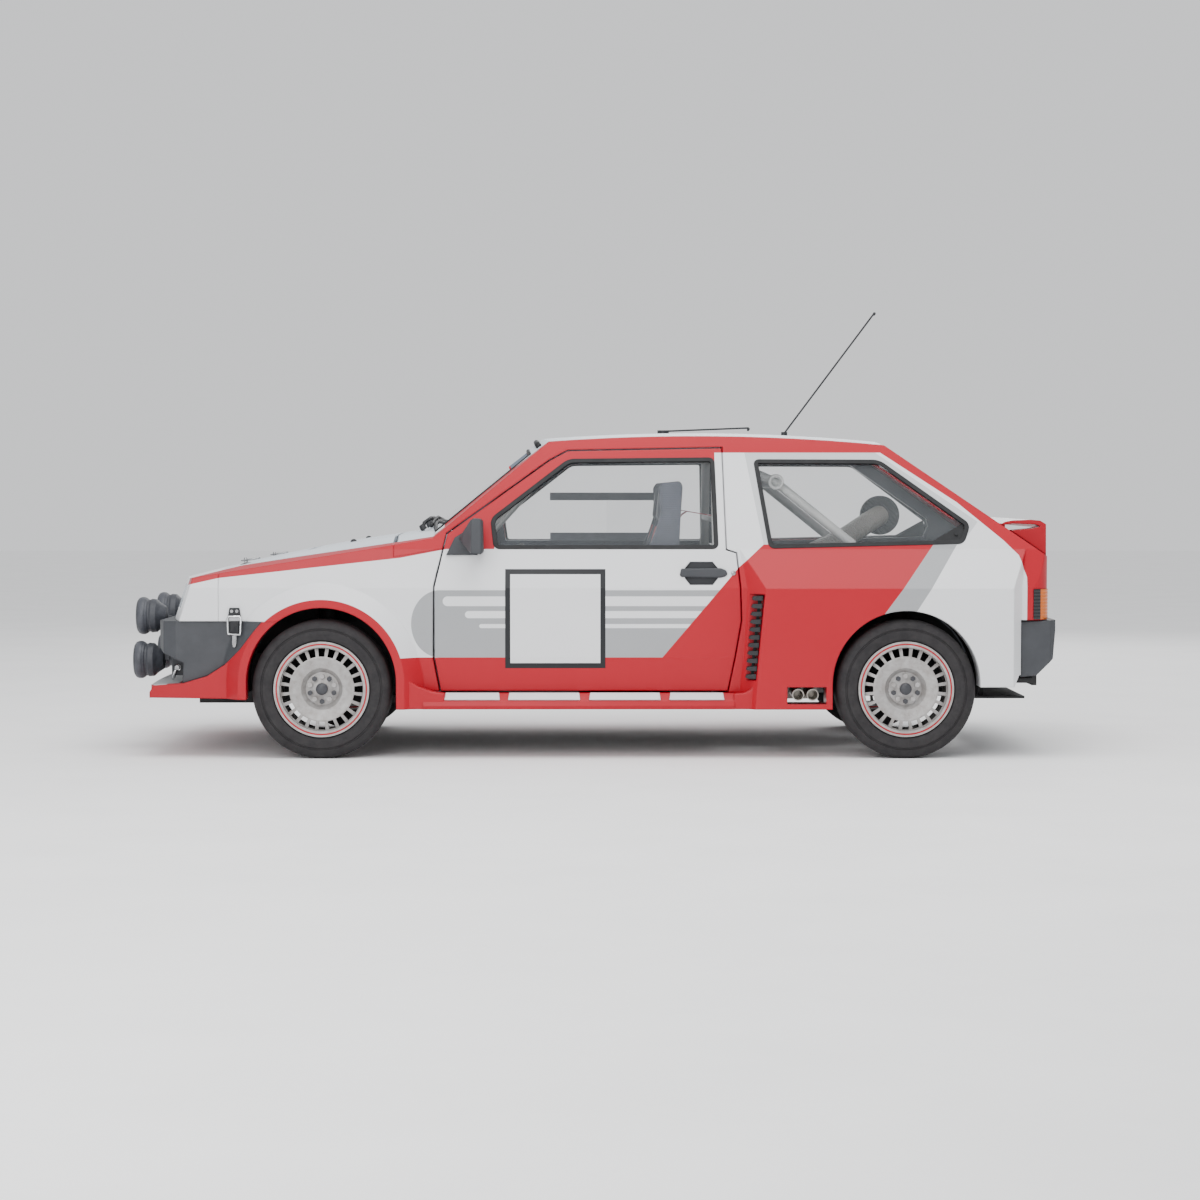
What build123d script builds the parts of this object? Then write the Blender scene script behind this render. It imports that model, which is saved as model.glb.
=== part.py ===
"""Three-door rally hatchback with flared arches, a mid-mounted engine and a caged cabin.

Millimetres, +Z up, the nose towards -X, the left flank towards -Y. The road is z = 0.
The stations below are measured from the middle of the wheelbase. The finished pieces are moved
along X so that the origin is under the middle of the overall length.
"""
import math
import os

from build123d import *

# Overall length, used to place the origin
front_end_x, rear_end_x = -2094, 1874
middle_x = (front_end_x + rear_end_x) / 2

# Running gear
wheelbase = 2460
tyre_radius = 292.5
tyre_width = 205
tyre_outer_half = 860
rim_seat_radius = 186
rim_flange_radius = 201
rim_fit = 0.2
spindle_radius = 20
kingpin_half = 690
kingpin_radius = 11
kingpin_boss_radius = 19
brake_disc_radius = 128
running_clearance = 0.05
slot_count = 24
slot_inner_radius, slot_outer_radius = 137, 172
slot_inner_width, slot_outer_width = 24, 30
stud_count = 5
stud_circle_radius = 53

# Body section seen from the front: height, then half width at that height
sill_z, sill_half = 208, 775
low_crease_z, low_crease_half = 424, 798
crease_z, crease_half = 717, 802
belt_z, belt_half = 880, 768
rail_z, rail_half = 1325, 590

# Walls and gaps
side_wall = 60
roof_wall = 32
screen_wall = 30
bonnet_wall = 30
nose_wall = 50
panel_gap = 6.5
glass_gap = 0.4
glass_thickness = 6
seat_gap = 0.3

# Side view of the body, station then height, on the centre line
nose_foot, nose_head = (-1930, 577), (-1868, 772)
bonnet_line = ((-1912, 739), (-1404, 860), (-932, 941))
screen_foot, screen_head = (-819, 965), (-338, 1337)
roof_line = ((-302, 1359), (350, 1384), (1159, 1346))
hatch_head, hatch_foot = (1149, 1340), (1840, 865)
tail_x = 1840
tail_corner_radius = 80
bonnet_crown = 12
shoulder_line, shoulder_half, shoulder_rise = ((-1801, 764), (-904, 903)), 760, 0.2
roof_crown = 34
screen_bow = 55
hatch_bow = 12
bonnet_hinge_hollow, hatch_hinge_hollow = 37.4, 33.8
nose_bow = 70
bow_half = 700

# Panel seams
nose_seam_x = -1668
bonnet_rear_x = -930
bonnet_half_front, bonnet_half_rear = 690, 715
wing_seam_front_z, wing_seam_rear_z = 847, 887
roof_seam_half = 560
bumper_top_z = 577
door_seam = ((-704, 944), (-756, 721), (-756, 424), (-730, 282), (481, 282), (537, 578), (533, 710),
             (517, 862), (474, 876), (462, 1308), (-195, 1296), (-273, 1254))
door_rear_corners = (4, 5, 6, 7, 8, 9)
door_jamb_slope = 0.28
door_window = ((-500, 892), (-515, 1004), (-190, 1250), (424, 1258), (436, 892))
quarter_window = ((606, 1250), (1120, 1246), (1490, 996), (1500, 960), (1480, 908), (668, 890))
screen_glass_start, screen_glass_end = 40, 560
screen_glass_half_foot, screen_glass_half_head = 650, 530
hatch_seam_start = 20
hatch_half_head, hatch_half_foot = 530, 592
hatch_foot_z = 592
spoiler_half = 650
hatch_glass_start, hatch_glass_end = 105, 560
hatch_glass_half_head, hatch_glass_half_foot = 455, 500

# Hinges: an axis a little behind the seam and a little below the skin
hinge_pin_radius = 5
hinge_boss_radius = 6
hinge_notch = 62
hinge_strap = 50
door_axis_x, door_axis_half = -721, 777
door_hinge_heights = (480, 650)
bonnet_axis_setback, bonnet_axis_depth = 25, 20
bonnet_hinge_half = 450
hatch_axis_setback, hatch_axis_depth = 22, 18
hatch_hinge_half = 350

# Arches and flares
flare_half = 870
front_arch_radius, front_arch_z = 315, 321
front_well_radius, front_well_half = 337, 795
rear_arch_radius, rear_arch_z = 311, 312
front_flare_base_radius, front_flare_lip_radius = 430, 350
rear_flare_lip = ((639, 716), (1680, 716), (1680, 208), (594, 208))
rear_flare_root = ((530, 885), (1745, 885), (1745, 208), (515, 208))
rear_flare_root_half = 765
vent_window = ((575, 692), (634, 692), (598, 330), (545, 330))
vent_floor_half = 812
louvre_count = 11
exhaust_window = (729, 893, 230, 302)

# Front skirt and bumpers
skirt_outline = ((-1959, 255), (-1959, 279), (-1941, 307), (-1822, 314), (-1717, 345), (-1641, 394),
                 (-1571, 461),
                 (-1512, 537), (-1478, 577), (-1380, 577), (-1380, 247))
skirt_half, skirt_wall = 812, 70
front_flare_base_half = skirt_half - 27
tow_eye_radius = 14
mirror_reach = 174
rear_bumper_outline = ((1719, 573), (1874, 581), (1859, 417), (1786, 345), (1722, 340))

# Lamps at the tail, and in front of the bumper
tail_lamp_window, tail_lamp_inner_half = (1772, 584, 712), 600
lamp_table = (
    # side, half width, height, front station
    (-1, 300, 579, -2089),
    (1, 300, 579, -2089),
    (-1, 350, 389, -2094),
    (1, 350, 389, -2094),
)
lamp_radius = 81

# Cabin
floor_low_z, floor_top_z = 205, 235
firewall_front_x, firewall_rear_x = -790, -760
bulkhead_front_x, bulkhead_rear_x = 470, 500
rail_outer_half, rail_width = 400, 50
rail_low_z, rail_top_z = 318, 380
gearbox_half = 200
seat_half = 350
wheel_rim_radius = 165
column_point = (-330, -seat_half, 735)
column_tilt = 25
cage_tube_radius = 20
bend_swell = 0.8

front_axle_x = -wheelbase / 2
rear_axle_x = wheelbase / 2
axle_z = tyre_radius
rail_inner_half = rail_outer_half - rail_width
wheel_half = tyre_outer_half - tyre_width / 2


def prism(points, to_point, start, end, direction):
    """Prism of a closed outline; to_point places an outline point in space at a given distance."""
    outline = Polyline(*[to_point(a, b, start) for a, b in points], close=True)
    return extrude(make_face(outline), end - start, dir=direction)


def prism_x(points, x0, x1):
    return prism(points, lambda y, z, x: (x, y, z), x0, x1, (1, 0, 0))


def prism_y(points, y0, y1):
    return prism(points, lambda x, z, y: (x, y, z), y0, y1, (0, 1, 0))


def prism_z(points, z0, z1):
    return prism(points, lambda x, y, z: (x, y, z), z0, z1, (0, 0, 1))


def block(x0, x1, y0, y1, z0, z1):
    return Pos((x0 + x1) / 2, (y0 + y1) / 2, (z0 + z1) / 2) * Box(x1 - x0, y1 - y0, z1 - z0)


def rod(start, end, radius):
    """Round bar between two points."""
    a, b = Vector(*start), Vector(*end)
    bar = Cylinder(radius, (b - a).length, align=(Align.CENTER, Align.CENTER, Align.MIN))
    return Plane(origin=a, z_dir=b - a) * bar


def tube_path(points, radius):
    """Round bars along a chain of points, with a ball at each bend."""
    chain = rod(points[0], points[1], radius)
    for a, b in zip(points[1:], points[2:]):
        chain = chain + Pos(*a) * Sphere(radius + bend_swell) + rod(a, b, radius)
    return chain


def strap_xz(points, thickness, y0, y1):
    """Flat strap along a chain of points in the side view, between two planes across the car."""
    strap = None
    for a, b in zip(points, points[1:]):
        along = (Vector(b[0] - a[0], b[1] - a[1])).normalized()
        across = Vector(-along.Y, along.X) * (thickness / 2)
        corners = [(a[0] + across.X, a[1] + across.Y), (b[0] + across.X, b[1] + across.Y),
                   (b[0] - across.X, b[1] - across.Y), (a[0] - across.X, a[1] - across.Y)]
        piece = prism_y(corners, y0, y1) + rod((a[0], y0, a[1]), (a[0], y1, a[1]), thickness / 2)
        strap = piece if strap is None else strap + piece
    return strap


def grown(points, amount):
    """The outline moved outwards by amount, or inwards where it is negative."""
    turn = sum(a[0] * b[1] - b[0] * a[1] for a, b in zip(points, points[1:] + points[:1]))
    sign = 1 if turn > 0 else -1
    moved = []
    for before, here, after in zip(points[-1:] + points[:-1], points, points[1:] + points[:1]):
        one = Vector(here[0] - before[0], here[1] - before[1]).normalized()
        two = Vector(after[0] - here[0], after[1] - here[1]).normalized()
        normal_one, normal_two = (one.Y * sign, -one.X * sign), (two.Y * sign, -two.X * sign)
        scale = amount / (1 + normal_one[0] * normal_two[0] + normal_one[1] * normal_two[1])
        moved.append((here[0] + (normal_one[0] + normal_two[0]) * scale,
                      here[1] + (normal_one[1] + normal_two[1]) * scale))
    return tuple(moved)


def mirrored(shape):
    return mirror(shape, about=Plane.XZ)


def both_sides(shape):
    return shape + mirrored(shape)


def half_at(height):
    """Half width of the outer skin at a height."""
    table = ((sill_z, sill_half), (low_crease_z, low_crease_half), (crease_z, crease_half),
             (belt_z, belt_half),
             (rail_z, rail_half))
    for (z0, h0), (z1, h1) in zip(table, table[1:]):
        if height <= z1:
            return h0 + (h1 - h0) * (height - z0) / (z1 - z0)
    return rail_half


# Body form: the outer skin, or an inner skin a wall thickness inside it
def side_section(inset):
    slope = (belt_half - rail_half) / (rail_z - belt_z)
    top_z = rail_z + 120
    foot_z = sill_z - (200 if inset else 0)
    right = [(sill_half, foot_z), (low_crease_half, low_crease_z), (crease_half, crease_z),
             (belt_half, belt_z),
             (belt_half - slope * (top_z - belt_z), top_z)]
    right = [(y - inset, z) for y, z in right]
    return right + [(-y, z) for y, z in reversed(right)]


def circle_through(a, b, c):
    """Centre and radius of the circle through three points of the side view."""
    d = 2 * (a[0] * (b[1] - c[1]) + b[0] * (c[1] - a[1]) + c[0] * (a[1] - b[1]))
    squares = [p[0] ** 2 + p[1] ** 2 for p in (a, b, c)]
    cx = (squares[0] * (b[1] - c[1]) + squares[1] * (c[1] - a[1]) + squares[2] * (a[1] - b[1])) / d
    cz = (squares[0] * (c[0] - b[0]) + squares[1] * (a[0] - c[0]) + squares[2] * (b[0] - a[0])) / d
    return cx, cz, math.dist((cx, cz), a)


def height_on(line, x):
    """Height of a crowned top on the centre line at a station."""
    cx, cz, radius = circle_through(*line)
    return cz + math.sqrt(radius ** 2 - (x - cx) ** 2)


def crowned_form(line, crown, inset, x0, x1):
    """Everything below a double-curved top: an arc along the car, crowned across it."""
    cx, cz, radius = circle_through(*line)
    top = cz + radius - inset
    reach = 1000
    drop = crown * (reach / bow_half) ** 2
    low = -600
    arc = ThreePointArc((cx, -reach, top - drop), (cx, 0, top), (cx, reach, top - drop))
    rest = Polyline((cx, reach, top - drop), (cx, reach, low), (cx, -reach, low), (cx, -reach, top - drop))
    face = make_face(arc + rest)
    axis = Axis((cx, 0, cz), (0, 1, 0))
    start = math.degrees(math.atan2(x0 - cx, radius))
    end = math.degrees(math.atan2(x1 - cx, radius))
    return revolve(face.rotate(axis, start), axis, end - start)


def slope_plane(start, end):
    """Plane across a sloping screen at its start: local x across the car, z along the slope."""
    return Plane(origin=(start[0], 0, start[1]), x_dir=(0, 1, 0),
                 z_dir=(end[0] - start[0], 0, end[1] - start[1]))


def bowed_form(start, end, bow, inset):
    """Everything behind a sloping screen, straight along its slope and bowed across the car."""
    reach, deep, far = 1000, 5000, 2500
    drop = bow * (reach / bow_half) ** 2
    arc = ThreePointArc((-reach, -drop - inset), (0, -inset), (reach, -drop - inset))
    rest = Polyline((reach, -drop - inset), (reach, -deep), (-reach, -deep), (-reach, -drop - inset))
    return extrude(slope_plane(start, end) * make_face(arc + rest), far, both=True)


def shoulder_form(inset):
    """Everything below the two sloping shoulders between the bonnet and the wings."""
    (x0, z0), (x1, z1) = shoulder_line
    along, across = Vector(x1 - x0, 0, z1 - z0), Vector(0, 1, shoulder_rise)
    reach, deep = 8000, 3000
    plane = Plane(origin=(x0, -shoulder_half, z0), x_dir=along, z_dir=along.cross(across))
    left = plane * Pos(0, 0, -inset - deep / 2) * Box(reach, reach, deep)
    return left & mirrored(left)


def tail_plan(inset):
    """Everything ahead of the rear end, which is round at its corners when seen from above."""
    x, half, radius = tail_x - inset, crease_half - inset, tail_corner_radius - inset
    start, slant, far = x - radius, radius * (1 - math.sqrt(0.5)), -3000
    left = ThreePointArc((start, -half), (x - slant, -half + slant), (x, -half + radius))
    right = ThreePointArc((x, half - radius), (x - slant, half - slant), (start, half))
    rest = Polyline((start, half), (far, half), (far, -half), (start, -half))
    outline = left + Line((x, -half + radius), (x, half - radius)) + right + rest
    return extrude(make_face(outline), 2000, dir=(0, 0, 1))


def body_form(side, roof, screen, bonnet, nose):
    """The closed body between its skins; each argument is how far that face lies inside the outer skin."""
    section = prism_x(side_section(side), nose_foot[0] - 50, tail_x - screen)
    front = section & crowned_form(bonnet_line, bonnet_crown, bonnet, nose_foot[0] - 400, -600)
    front = front & bowed_form(nose_foot, nose_head, nose_bow, nose) & shoulder_form(bonnet)
    cabin = section & crowned_form(roof_line, roof_crown, roof, -1400, tail_x + 500)
    cabin = cabin & bowed_form(screen_foot, screen_head, screen_bow, screen)
    cabin = cabin & bowed_form(hatch_head, hatch_foot, hatch_bow, screen) & tail_plan(screen)
    return front + cabin


def slope_panel(start, end, s0, s1, half0, half1):
    """Prism square to a slope, cutting a trapezium out of it: s is measured along the slope."""
    plane = slope_plane(start, end)
    across = Plane(origin=plane.origin, x_dir=plane.x_dir, z_dir=plane.y_dir)
    corners = [(-half0, s0), (half0, s0), (half1, s1), (-half1, s1)]
    sign = 1 if (across.y_dir - plane.z_dir).length < 1e-6 else -1
    face = across * make_face(Polyline(*[(y, sign * s) for y, s in corners], close=True))
    return extrude(face, 120, both=True)


def front_flare():
    """Ring round the left front arch, wide at the wing and narrow at its lip."""
    base, lip = -front_flare_base_half, -flare_half
    ring = Plane(origin=(front_axle_x, base, front_arch_z), z_dir=(0, -1, 0)) * Cone(
        front_flare_base_radius, front_flare_lip_radius, base - lip, align=(Align.CENTER, Align.CENTER,
                                                                            Align.MIN))
    ring = ring & block(-2000, 0, -900, 0, front_arch_z, 900)
    legs = []
    for side, foot_z in ((-1, 247), (1, sill_z)):
        near, far = front_axle_x + side * front_arch_radius * 0.5, front_axle_x + side * front_flare_base_radius
        tip = front_axle_x + side * front_flare_lip_radius
        legs.append(prism_z([(near, base), (near, lip), (tip, lip), (far, base)], foot_z, front_arch_z))
    return ring + legs[0] + legs[1]


def rear_flare():
    """Wide left rear haunch, with a slanted front for the air intake."""
    lip = make_face(Polyline(*[(x, -flare_half, z) for x, z in rear_flare_lip], close=True))
    root = make_face(Polyline(*[(x, -rear_flare_root_half, z) for x, z in rear_flare_root], close=True))
    return loft([lip, root], ruled=True)


def arch_cutters():
    """Room for the wheels; behind its lip the front arch opens into a well that the steered tyre swings in."""
    front = rod((front_axle_x, -1000, front_arch_z), (front_axle_x, 1000, front_arch_z), front_arch_radius)
    front = front + block(front_axle_x - front_arch_radius, front_axle_x + front_arch_radius, -1000, 1000, 0,
                          front_arch_z)
    well = rod((front_axle_x, -front_well_half, front_arch_z), (front_axle_x, front_well_half, front_arch_z),
               front_well_radius)
    well = well + block(front_axle_x - front_well_radius, front_axle_x + front_well_radius, -front_well_half,
                        front_well_half, 0, front_arch_z)
    rear = rod((rear_axle_x, -1000, rear_arch_z), (rear_axle_x, 1000, rear_arch_z), rear_arch_radius)
    rear = rear + block(rear_axle_x - rear_arch_radius, rear_axle_x + rear_arch_radius, -1000, 1000, 0,
                        rear_arch_z)
    return front + well, rear


def bonnet_zone(gap):
    front, rear = nose_seam_x + gap, bonnet_rear_x - gap
    return prism_z([(front, -bonnet_half_front + gap), (rear, -bonnet_half_rear + gap),
                    (rear, bonnet_half_rear - gap), (front, bonnet_half_front - gap)], 640, 1100)


def door_zone(gap):
    """Left door opening; its rear jamb slants so that the door can swing out past the pillar."""
    outer_half, inner_half = 840, 480
    seam = grown(door_seam, gap)
    rings = []
    for half in (outer_half, inner_half):
        ring = []
        for number, (x, z) in enumerate(seam):
            shift = door_jamb_slope * (half - half_at(door_seam[number][1])) if number in door_rear_corners else 0
            ring.append((x + shift, -half, z))
        rings.append(make_face(Polyline(*ring, close=True)))
    return loft(rings, ruled=True)


def hatch_zone(gap):
    along = Vector(hatch_foot[0] - hatch_head[0], hatch_foot[1] - hatch_head[1]).normalized()
    out = Vector(-along.Y, along.X)
    seam = Vector(*hatch_head) + along * hatch_seam_start
    top, low = seam + out * 90, seam - out * 75
    outline = ((top.X, top.Y), (low.X, low.Y), (1700, 990 - 75), (1700, hatch_foot_z), (1960, hatch_foot_z),
               (1960, 865))
    plan = ((1000, -hatch_half_head), (1000, hatch_half_head), (hatch_foot[0], hatch_half_foot),
            (1960, hatch_half_foot),
            (1960, -hatch_half_foot), (hatch_foot[0], -hatch_half_foot))
    side = prism_y(grown(outline, gap), -700, 700)
    return side & prism_z(grown(plan, gap), 400, 1500)


def hatch_axis():
    """Hinge axis of the tailgate in the side view."""
    along = Vector(hatch_foot[0] - hatch_head[0], hatch_foot[1] - hatch_head[1]).normalized()
    out = Vector(-along.Y, along.X)
    place = Vector(*hatch_head) + along * (hatch_seam_start + hatch_axis_setback) - out * hatch_axis_depth
    return place, along, out


def bonnet_axis():
    """Hinge axis of the bonnet in the side view."""
    x = bonnet_rear_x - bonnet_axis_setback
    return x, height_on(bonnet_line, x) - bonnet_axis_depth


outer = body_form(0, 0, 0, 0, 0)
inner = body_form(side_wall, roof_wall, screen_wall, bonnet_wall, nose_wall)
front_arch, rear_arch = arch_cutters()
flares_rear = both_sides(rear_flare())
skin = outer + flares_rear
shell = skin - inner - rear_arch
left_half = block(-2500, 2500, -1000, 0, 0, 1600)
parts = {}


def screen_opening(gap):
    return slope_panel(screen_foot, screen_head, screen_glass_start - gap, screen_glass_end + gap,
                       screen_glass_half_foot + gap, screen_glass_half_head + gap)


def hatch_opening(gap):
    return slope_panel(hatch_head, hatch_foot, hatch_glass_start - gap, hatch_glass_end + gap,
                       hatch_glass_half_head + gap, hatch_glass_half_foot + gap)


def roof_zone(gap):
    """The roof between its gutters, from the head of the screen to the seam of the tailgate."""
    return block(-420, 1300, -roof_seam_half - gap, roof_seam_half + gap, 1150, 1500)


def scuttle_zone(gap):
    wide = block(bonnet_rear_x - gap, -760 + gap, -bonnet_half_rear - gap, bonnet_half_rear + gap, 700, 1006)
    return wide + block(-800, -640 + gap, -618 - gap, 618 + gap, 700, 1006)


# Skin panels in front of the screen
def nose_panel():
    panel = shell & block(-2100, nose_seam_x - seat_gap, -900, 900, bumper_top_z + seat_gap, 1100)
    for y0, y1, z0, z1 in ((-690, -440, 628, 728), (440, 690, 628, 728), (-400, 400, 640, 716)):
        panel = panel - block(-2100, -1700, y0, y1, z0, z1)
    depth = body_form(0, 0, 0, 0, 8) - body_form(0, 0, 0, 0, nose_wall - 8)
    for z in (654, 674, 694):
        panel = panel + (depth & block(-2100, -1700, -401, 401, z, z + 9))
    return panel


def bonnet_panel():
    panel = shell & bonnet_zone(panel_gap)
    x, z = bonnet_axis()
    for side in (-1, 1):
        middle = side * bonnet_hinge_half
        panel = panel - block(x - 12, x + 60, middle - hinge_notch / 2, middle + hinge_notch / 2, z - 60,
                              z + 11)
        reach = hinge_notch / 2 + 16
        panel = panel - rod((x, middle - reach, z), (x, middle + reach, z),
                            hinge_pin_radius + running_clearance)
    for y0, y1 in ((-430, -90), (90, 430)):
        panel = panel - block(-1330, -1290, y0, y1, 600, 1000)
    return panel


def wing():
    front, rear, low = nose_seam_x + seat_gap, bonnet_rear_x - seat_gap, bumper_top_z + seat_gap
    outline = [(front, low), (front, 1100), (rear, 1100), (rear, wing_seam_front_z), (-690, wing_seam_rear_z),
               (-690, 100),
               (front_axle_x, 100), (front_axle_x, low)]
    zone = prism_y(outline, -900, 0)
    panel = (shell + (front_flare() - inner)) & zone
    panel = panel - front_arch - bonnet_zone(0) - door_zone(panel_gap) - scuttle_zone(seat_gap)
    hollow = make_face(Polyline((0, 0, 262), (16, 0, 270), (48.5, 0, 424), (48.5, 0, 721), (10, 0, 852),
                                (0, 0, 852),
                                close=True))
    hollow = revolve(hollow, Axis.Z)
    panel = panel - Pos(door_axis_x, -door_axis_half, 0) * hollow
    panel = panel - block(-915, -600, -900, 0, 100, 282) + (
        (front_flare() - inner) & block(-915, -805, -900, 0, sill_z, 300) & zone) - front_arch
    return panel


def scuttle_and_firewall():
    """Panel under the screen, the wall behind the front bay and the pillars that carry the doors."""
    panel = (shell & scuttle_zone(-seat_gap)) - screen_opening(0)
    x, z = bonnet_axis()
    panel = panel - rod((x, -800, z), (x, 800, z), bonnet_hinge_hollow)
    wall = block(firewall_front_x, firewall_rear_x, -800, 800, floor_top_z + seat_gap, 925)
    wall = wall & crowned_form(bonnet_line, bonnet_crown, bonnet_wall - 5, -2300,
                               -600) & shoulder_form(bonnet_wall - 5)
    wall = wall & prism_x(side_section(side_wall + 12), -2000, 0)
    panel = panel + wall
    for side in (-1, 1):
        hx, hy = door_axis_x, side * door_axis_half
        for height in door_hinge_heights:
            low, high = height - hinge_strap / 2, height + hinge_strap / 2
            strap = prism_z([(hx - 6, hy), (hx + 6, hy), (hx + 6, hy - side * 54), (hx - 39, hy - side * 64),
                             (hx - 52, hy - side * 64),
                             (hx - 52, hy - side * 42), (hx - 6, hy - side * 42)], low, high)
            strap = strap + rod((hx, hy, low), (hx, hy, high), hinge_boss_radius)
            reach = hinge_notch / 2 + 15
            panel = panel + strap + rod((hx, hy, height - reach), (hx, hy, height + reach), hinge_pin_radius)
        middle = side * bonnet_hinge_half
        arm = strap_xz([(x, z), (x, z - 70), (-775, z - 70)], 12, middle - hinge_strap / 2,
                       middle + hinge_strap / 2)
        reach = hinge_notch / 2 + 15
        panel = panel + arm + rod((x, middle - reach, z), (x, middle + reach, z), hinge_pin_radius)
    return panel


# Cabin sides, doors and lids
def door():
    panel = (shell & left_half & door_zone(0)) - screen_opening(20)
    panel = panel - roof_zone(panel_gap)
    for height in door_hinge_heights:
        panel = panel - block(door_axis_x - 60, door_axis_x + 12, -door_axis_half - 11, -600,
                              height - hinge_notch / 2,
                              height + hinge_notch / 2)
        reach = hinge_notch / 2 + 16
        panel = panel - rod((door_axis_x, -door_axis_half, height - reach),
                            (door_axis_x, -door_axis_half, height + reach),
                            hinge_pin_radius + running_clearance)
    panel = panel - prism_y(door_window, -1000, 0)
    recess = prism_y([(300, 758), (322, 730), (418, 730), (440, 758), (440, 800), (418, 827), (322, 827),
                      (300, 800)],
                     -900, -half_at(760) + 26)
    panel = panel - recess
    grip = block(290, 452, -half_at(780) - 6, -half_at(780) + 10, 766, 796)
    post = block(285, 305, -half_at(780) - 4, -half_at(780) + 40, 766, 796)
    tip = block(437, 457, -half_at(780) - 4, -half_at(780) + 40, 766, 796)
    return panel + grip + post + tip


def tailgate_panel():
    panel = shell & hatch_zone(-panel_gap / 2)
    place, along, out = hatch_axis()
    for side in (-1, 1):
        middle = side * hatch_hinge_half
        corners = [place - along * 60 + out * 11, place + along * 12 + out * 11,
                   place + along * 12 - out * 60,
                   place - along * 60 - out * 60]
        panel = panel - prism_y([(c.X, c.Y) for c in corners], middle - hinge_notch / 2,
                                middle + hinge_notch / 2)
        reach = hinge_notch / 2 + 16
        panel = panel - rod((place.X, middle - reach, place.Y), (place.X, middle + reach, place.Y),
                            hinge_pin_radius + running_clearance)
    return panel - hatch_opening(0)


def spoiler_piece():
    """Plate across the tailgate on two fins."""
    plate = prism_y([(1650, 983), (1672, 995), (1704, 1001), (1780, 1004), (1822, 1000), (1847, 985),
                     (1847, 968),
                     (1800, 984), (1704, 988), (1668, 982)], -spoiler_half, spoiler_half)
    fin = prism_y([(1690, 925), (1690, 958), (1780, 966), (1847, 980), (1848, 825), (1800, 845)],
                  -spoiler_half, -548)
    piece = plate + both_sides(fin)
    piece = piece - (body_form(0, 0, -panel_gap, 0, 0) & both_sides(block(1000, 2000, -900, -594, 0, 1500)))
    return piece - body_form(0, 0, -seat_gap, 0, 0)


def roof_panel():
    panel = shell & roof_zone(-seat_gap)
    panel = panel - hatch_zone(panel_gap / 2) - screen_opening(0)
    place, along, out = hatch_axis()
    panel = panel - rod((place.X, -700, place.Y), (place.X, 700, place.Y), hatch_hinge_hollow)
    for side in (-1, 1):
        middle = side * hatch_hinge_half
        chain = [(place.X, place.Y), (place.X - 26, place.Y - 38), (place.X - 85, place.Y - 24),
                 (place.X - 85, place.Y + 28)]
        panel = panel + strap_xz(chain, 12, middle - hinge_strap / 2, middle + hinge_strap / 2)
        reach = hinge_notch / 2 + 15
        panel = panel + rod((place.X, middle - reach, place.Y), (place.X, middle + reach, place.Y),
                            hinge_pin_radius)
    return panel


def body_side():
    """Left pillars, roof rail and rear quarter."""
    front = bonnet_rear_x + seat_gap
    outline = [(front, 1500), (front, wing_seam_front_z + seat_gap), (-690, wing_seam_rear_z + seat_gap),
               (-690, 282 - panel_gap), (510, 282 - panel_gap), (510, 100), (1900, 100), (1900, 1500)]
    panel = shell & left_half & prism_y(outline, -900, 0)
    panel = panel - door_zone(panel_gap) - roof_zone(seat_gap) - scuttle_zone(seat_gap) - screen_opening(0)
    panel = panel - hatch_zone(panel_gap / 2)
    panel = panel - prism_y(quarter_window, -1000, 0)
    panel = panel - block(1719 - seat_gap, 2000, -1000, 0, 0, 581 + seat_gap)
    panel = panel - block(1533, 2000, -1000, 0, 0, 302)
    panel = panel - prism_y([(1678, 290), (1710, 350), (1760, 350), (1760, 290)], -1000, 0)
    panel = panel - block(1700, 1900, -700, 0, 300, hatch_foot_z + panel_gap)
    panel = panel - prism_y(vent_window, -1000, -vent_floor_half)
    x0, x1, z0, z1 = exhaust_window
    panel = panel - block(x0, x1, -1000, 0, z0, z1)
    x0, z0, z1 = tail_lamp_window
    panel = panel - block(x0, 1900, -900, -tail_lamp_inner_half, z0, z1)
    return panel


def louvre_set():
    """Left row of slats in the intake."""
    x_at = lambda z: 545 + (575 - 545) * (z - 330) / (692 - 330)
    slats = None
    step = (692 - 330) / louvre_count
    for number in range(louvre_count):
        z = 330 + step * (number + 0.5)
        x = x_at(z)
        outline = [(x + 7, z - 4), (x + 13, z + 8), (x + 52, z + 10), (x + 52, z - 10), (x + 20, z - 9)]
        slat = prism_y(outline, -vent_floor_half - 44, -vent_floor_half - seat_gap)
        slats = slat if slats is None else slats + slat
    back = prism_y([(609, 680), (622, 680), (588, 340), (576, 340)], -vent_floor_half - 8,
                   -vent_floor_half - seat_gap)
    return slats + back


# Front skirt and bumpers
def front_skirt_piece():
    wall = prism_y(skirt_outline, -skirt_half, -skirt_half + skirt_wall)
    low = front_flare() & prism_y(skirt_outline, -900, 0)
    piece = both_sides(wall + low) - front_arch
    plate = prism_z([(-1545, -skirt_half), (-1925, -skirt_half), (-1959, -760), (-1975, -400), (-1980, 0),
                     (-1975, 400),
                     (-1959, 760), (-1925, skirt_half), (-1545, skirt_half), (-1545, 700), (-1860,
                                                                                            640), (-1860,
                                                                                                   -640),
                     (-1545, -700)], 255, 307)
    piece = piece + (plate - front_arch)
    return piece & block(-2000, front_axle_x, -900, 900, 200, bumper_top_z - seat_gap)


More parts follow.
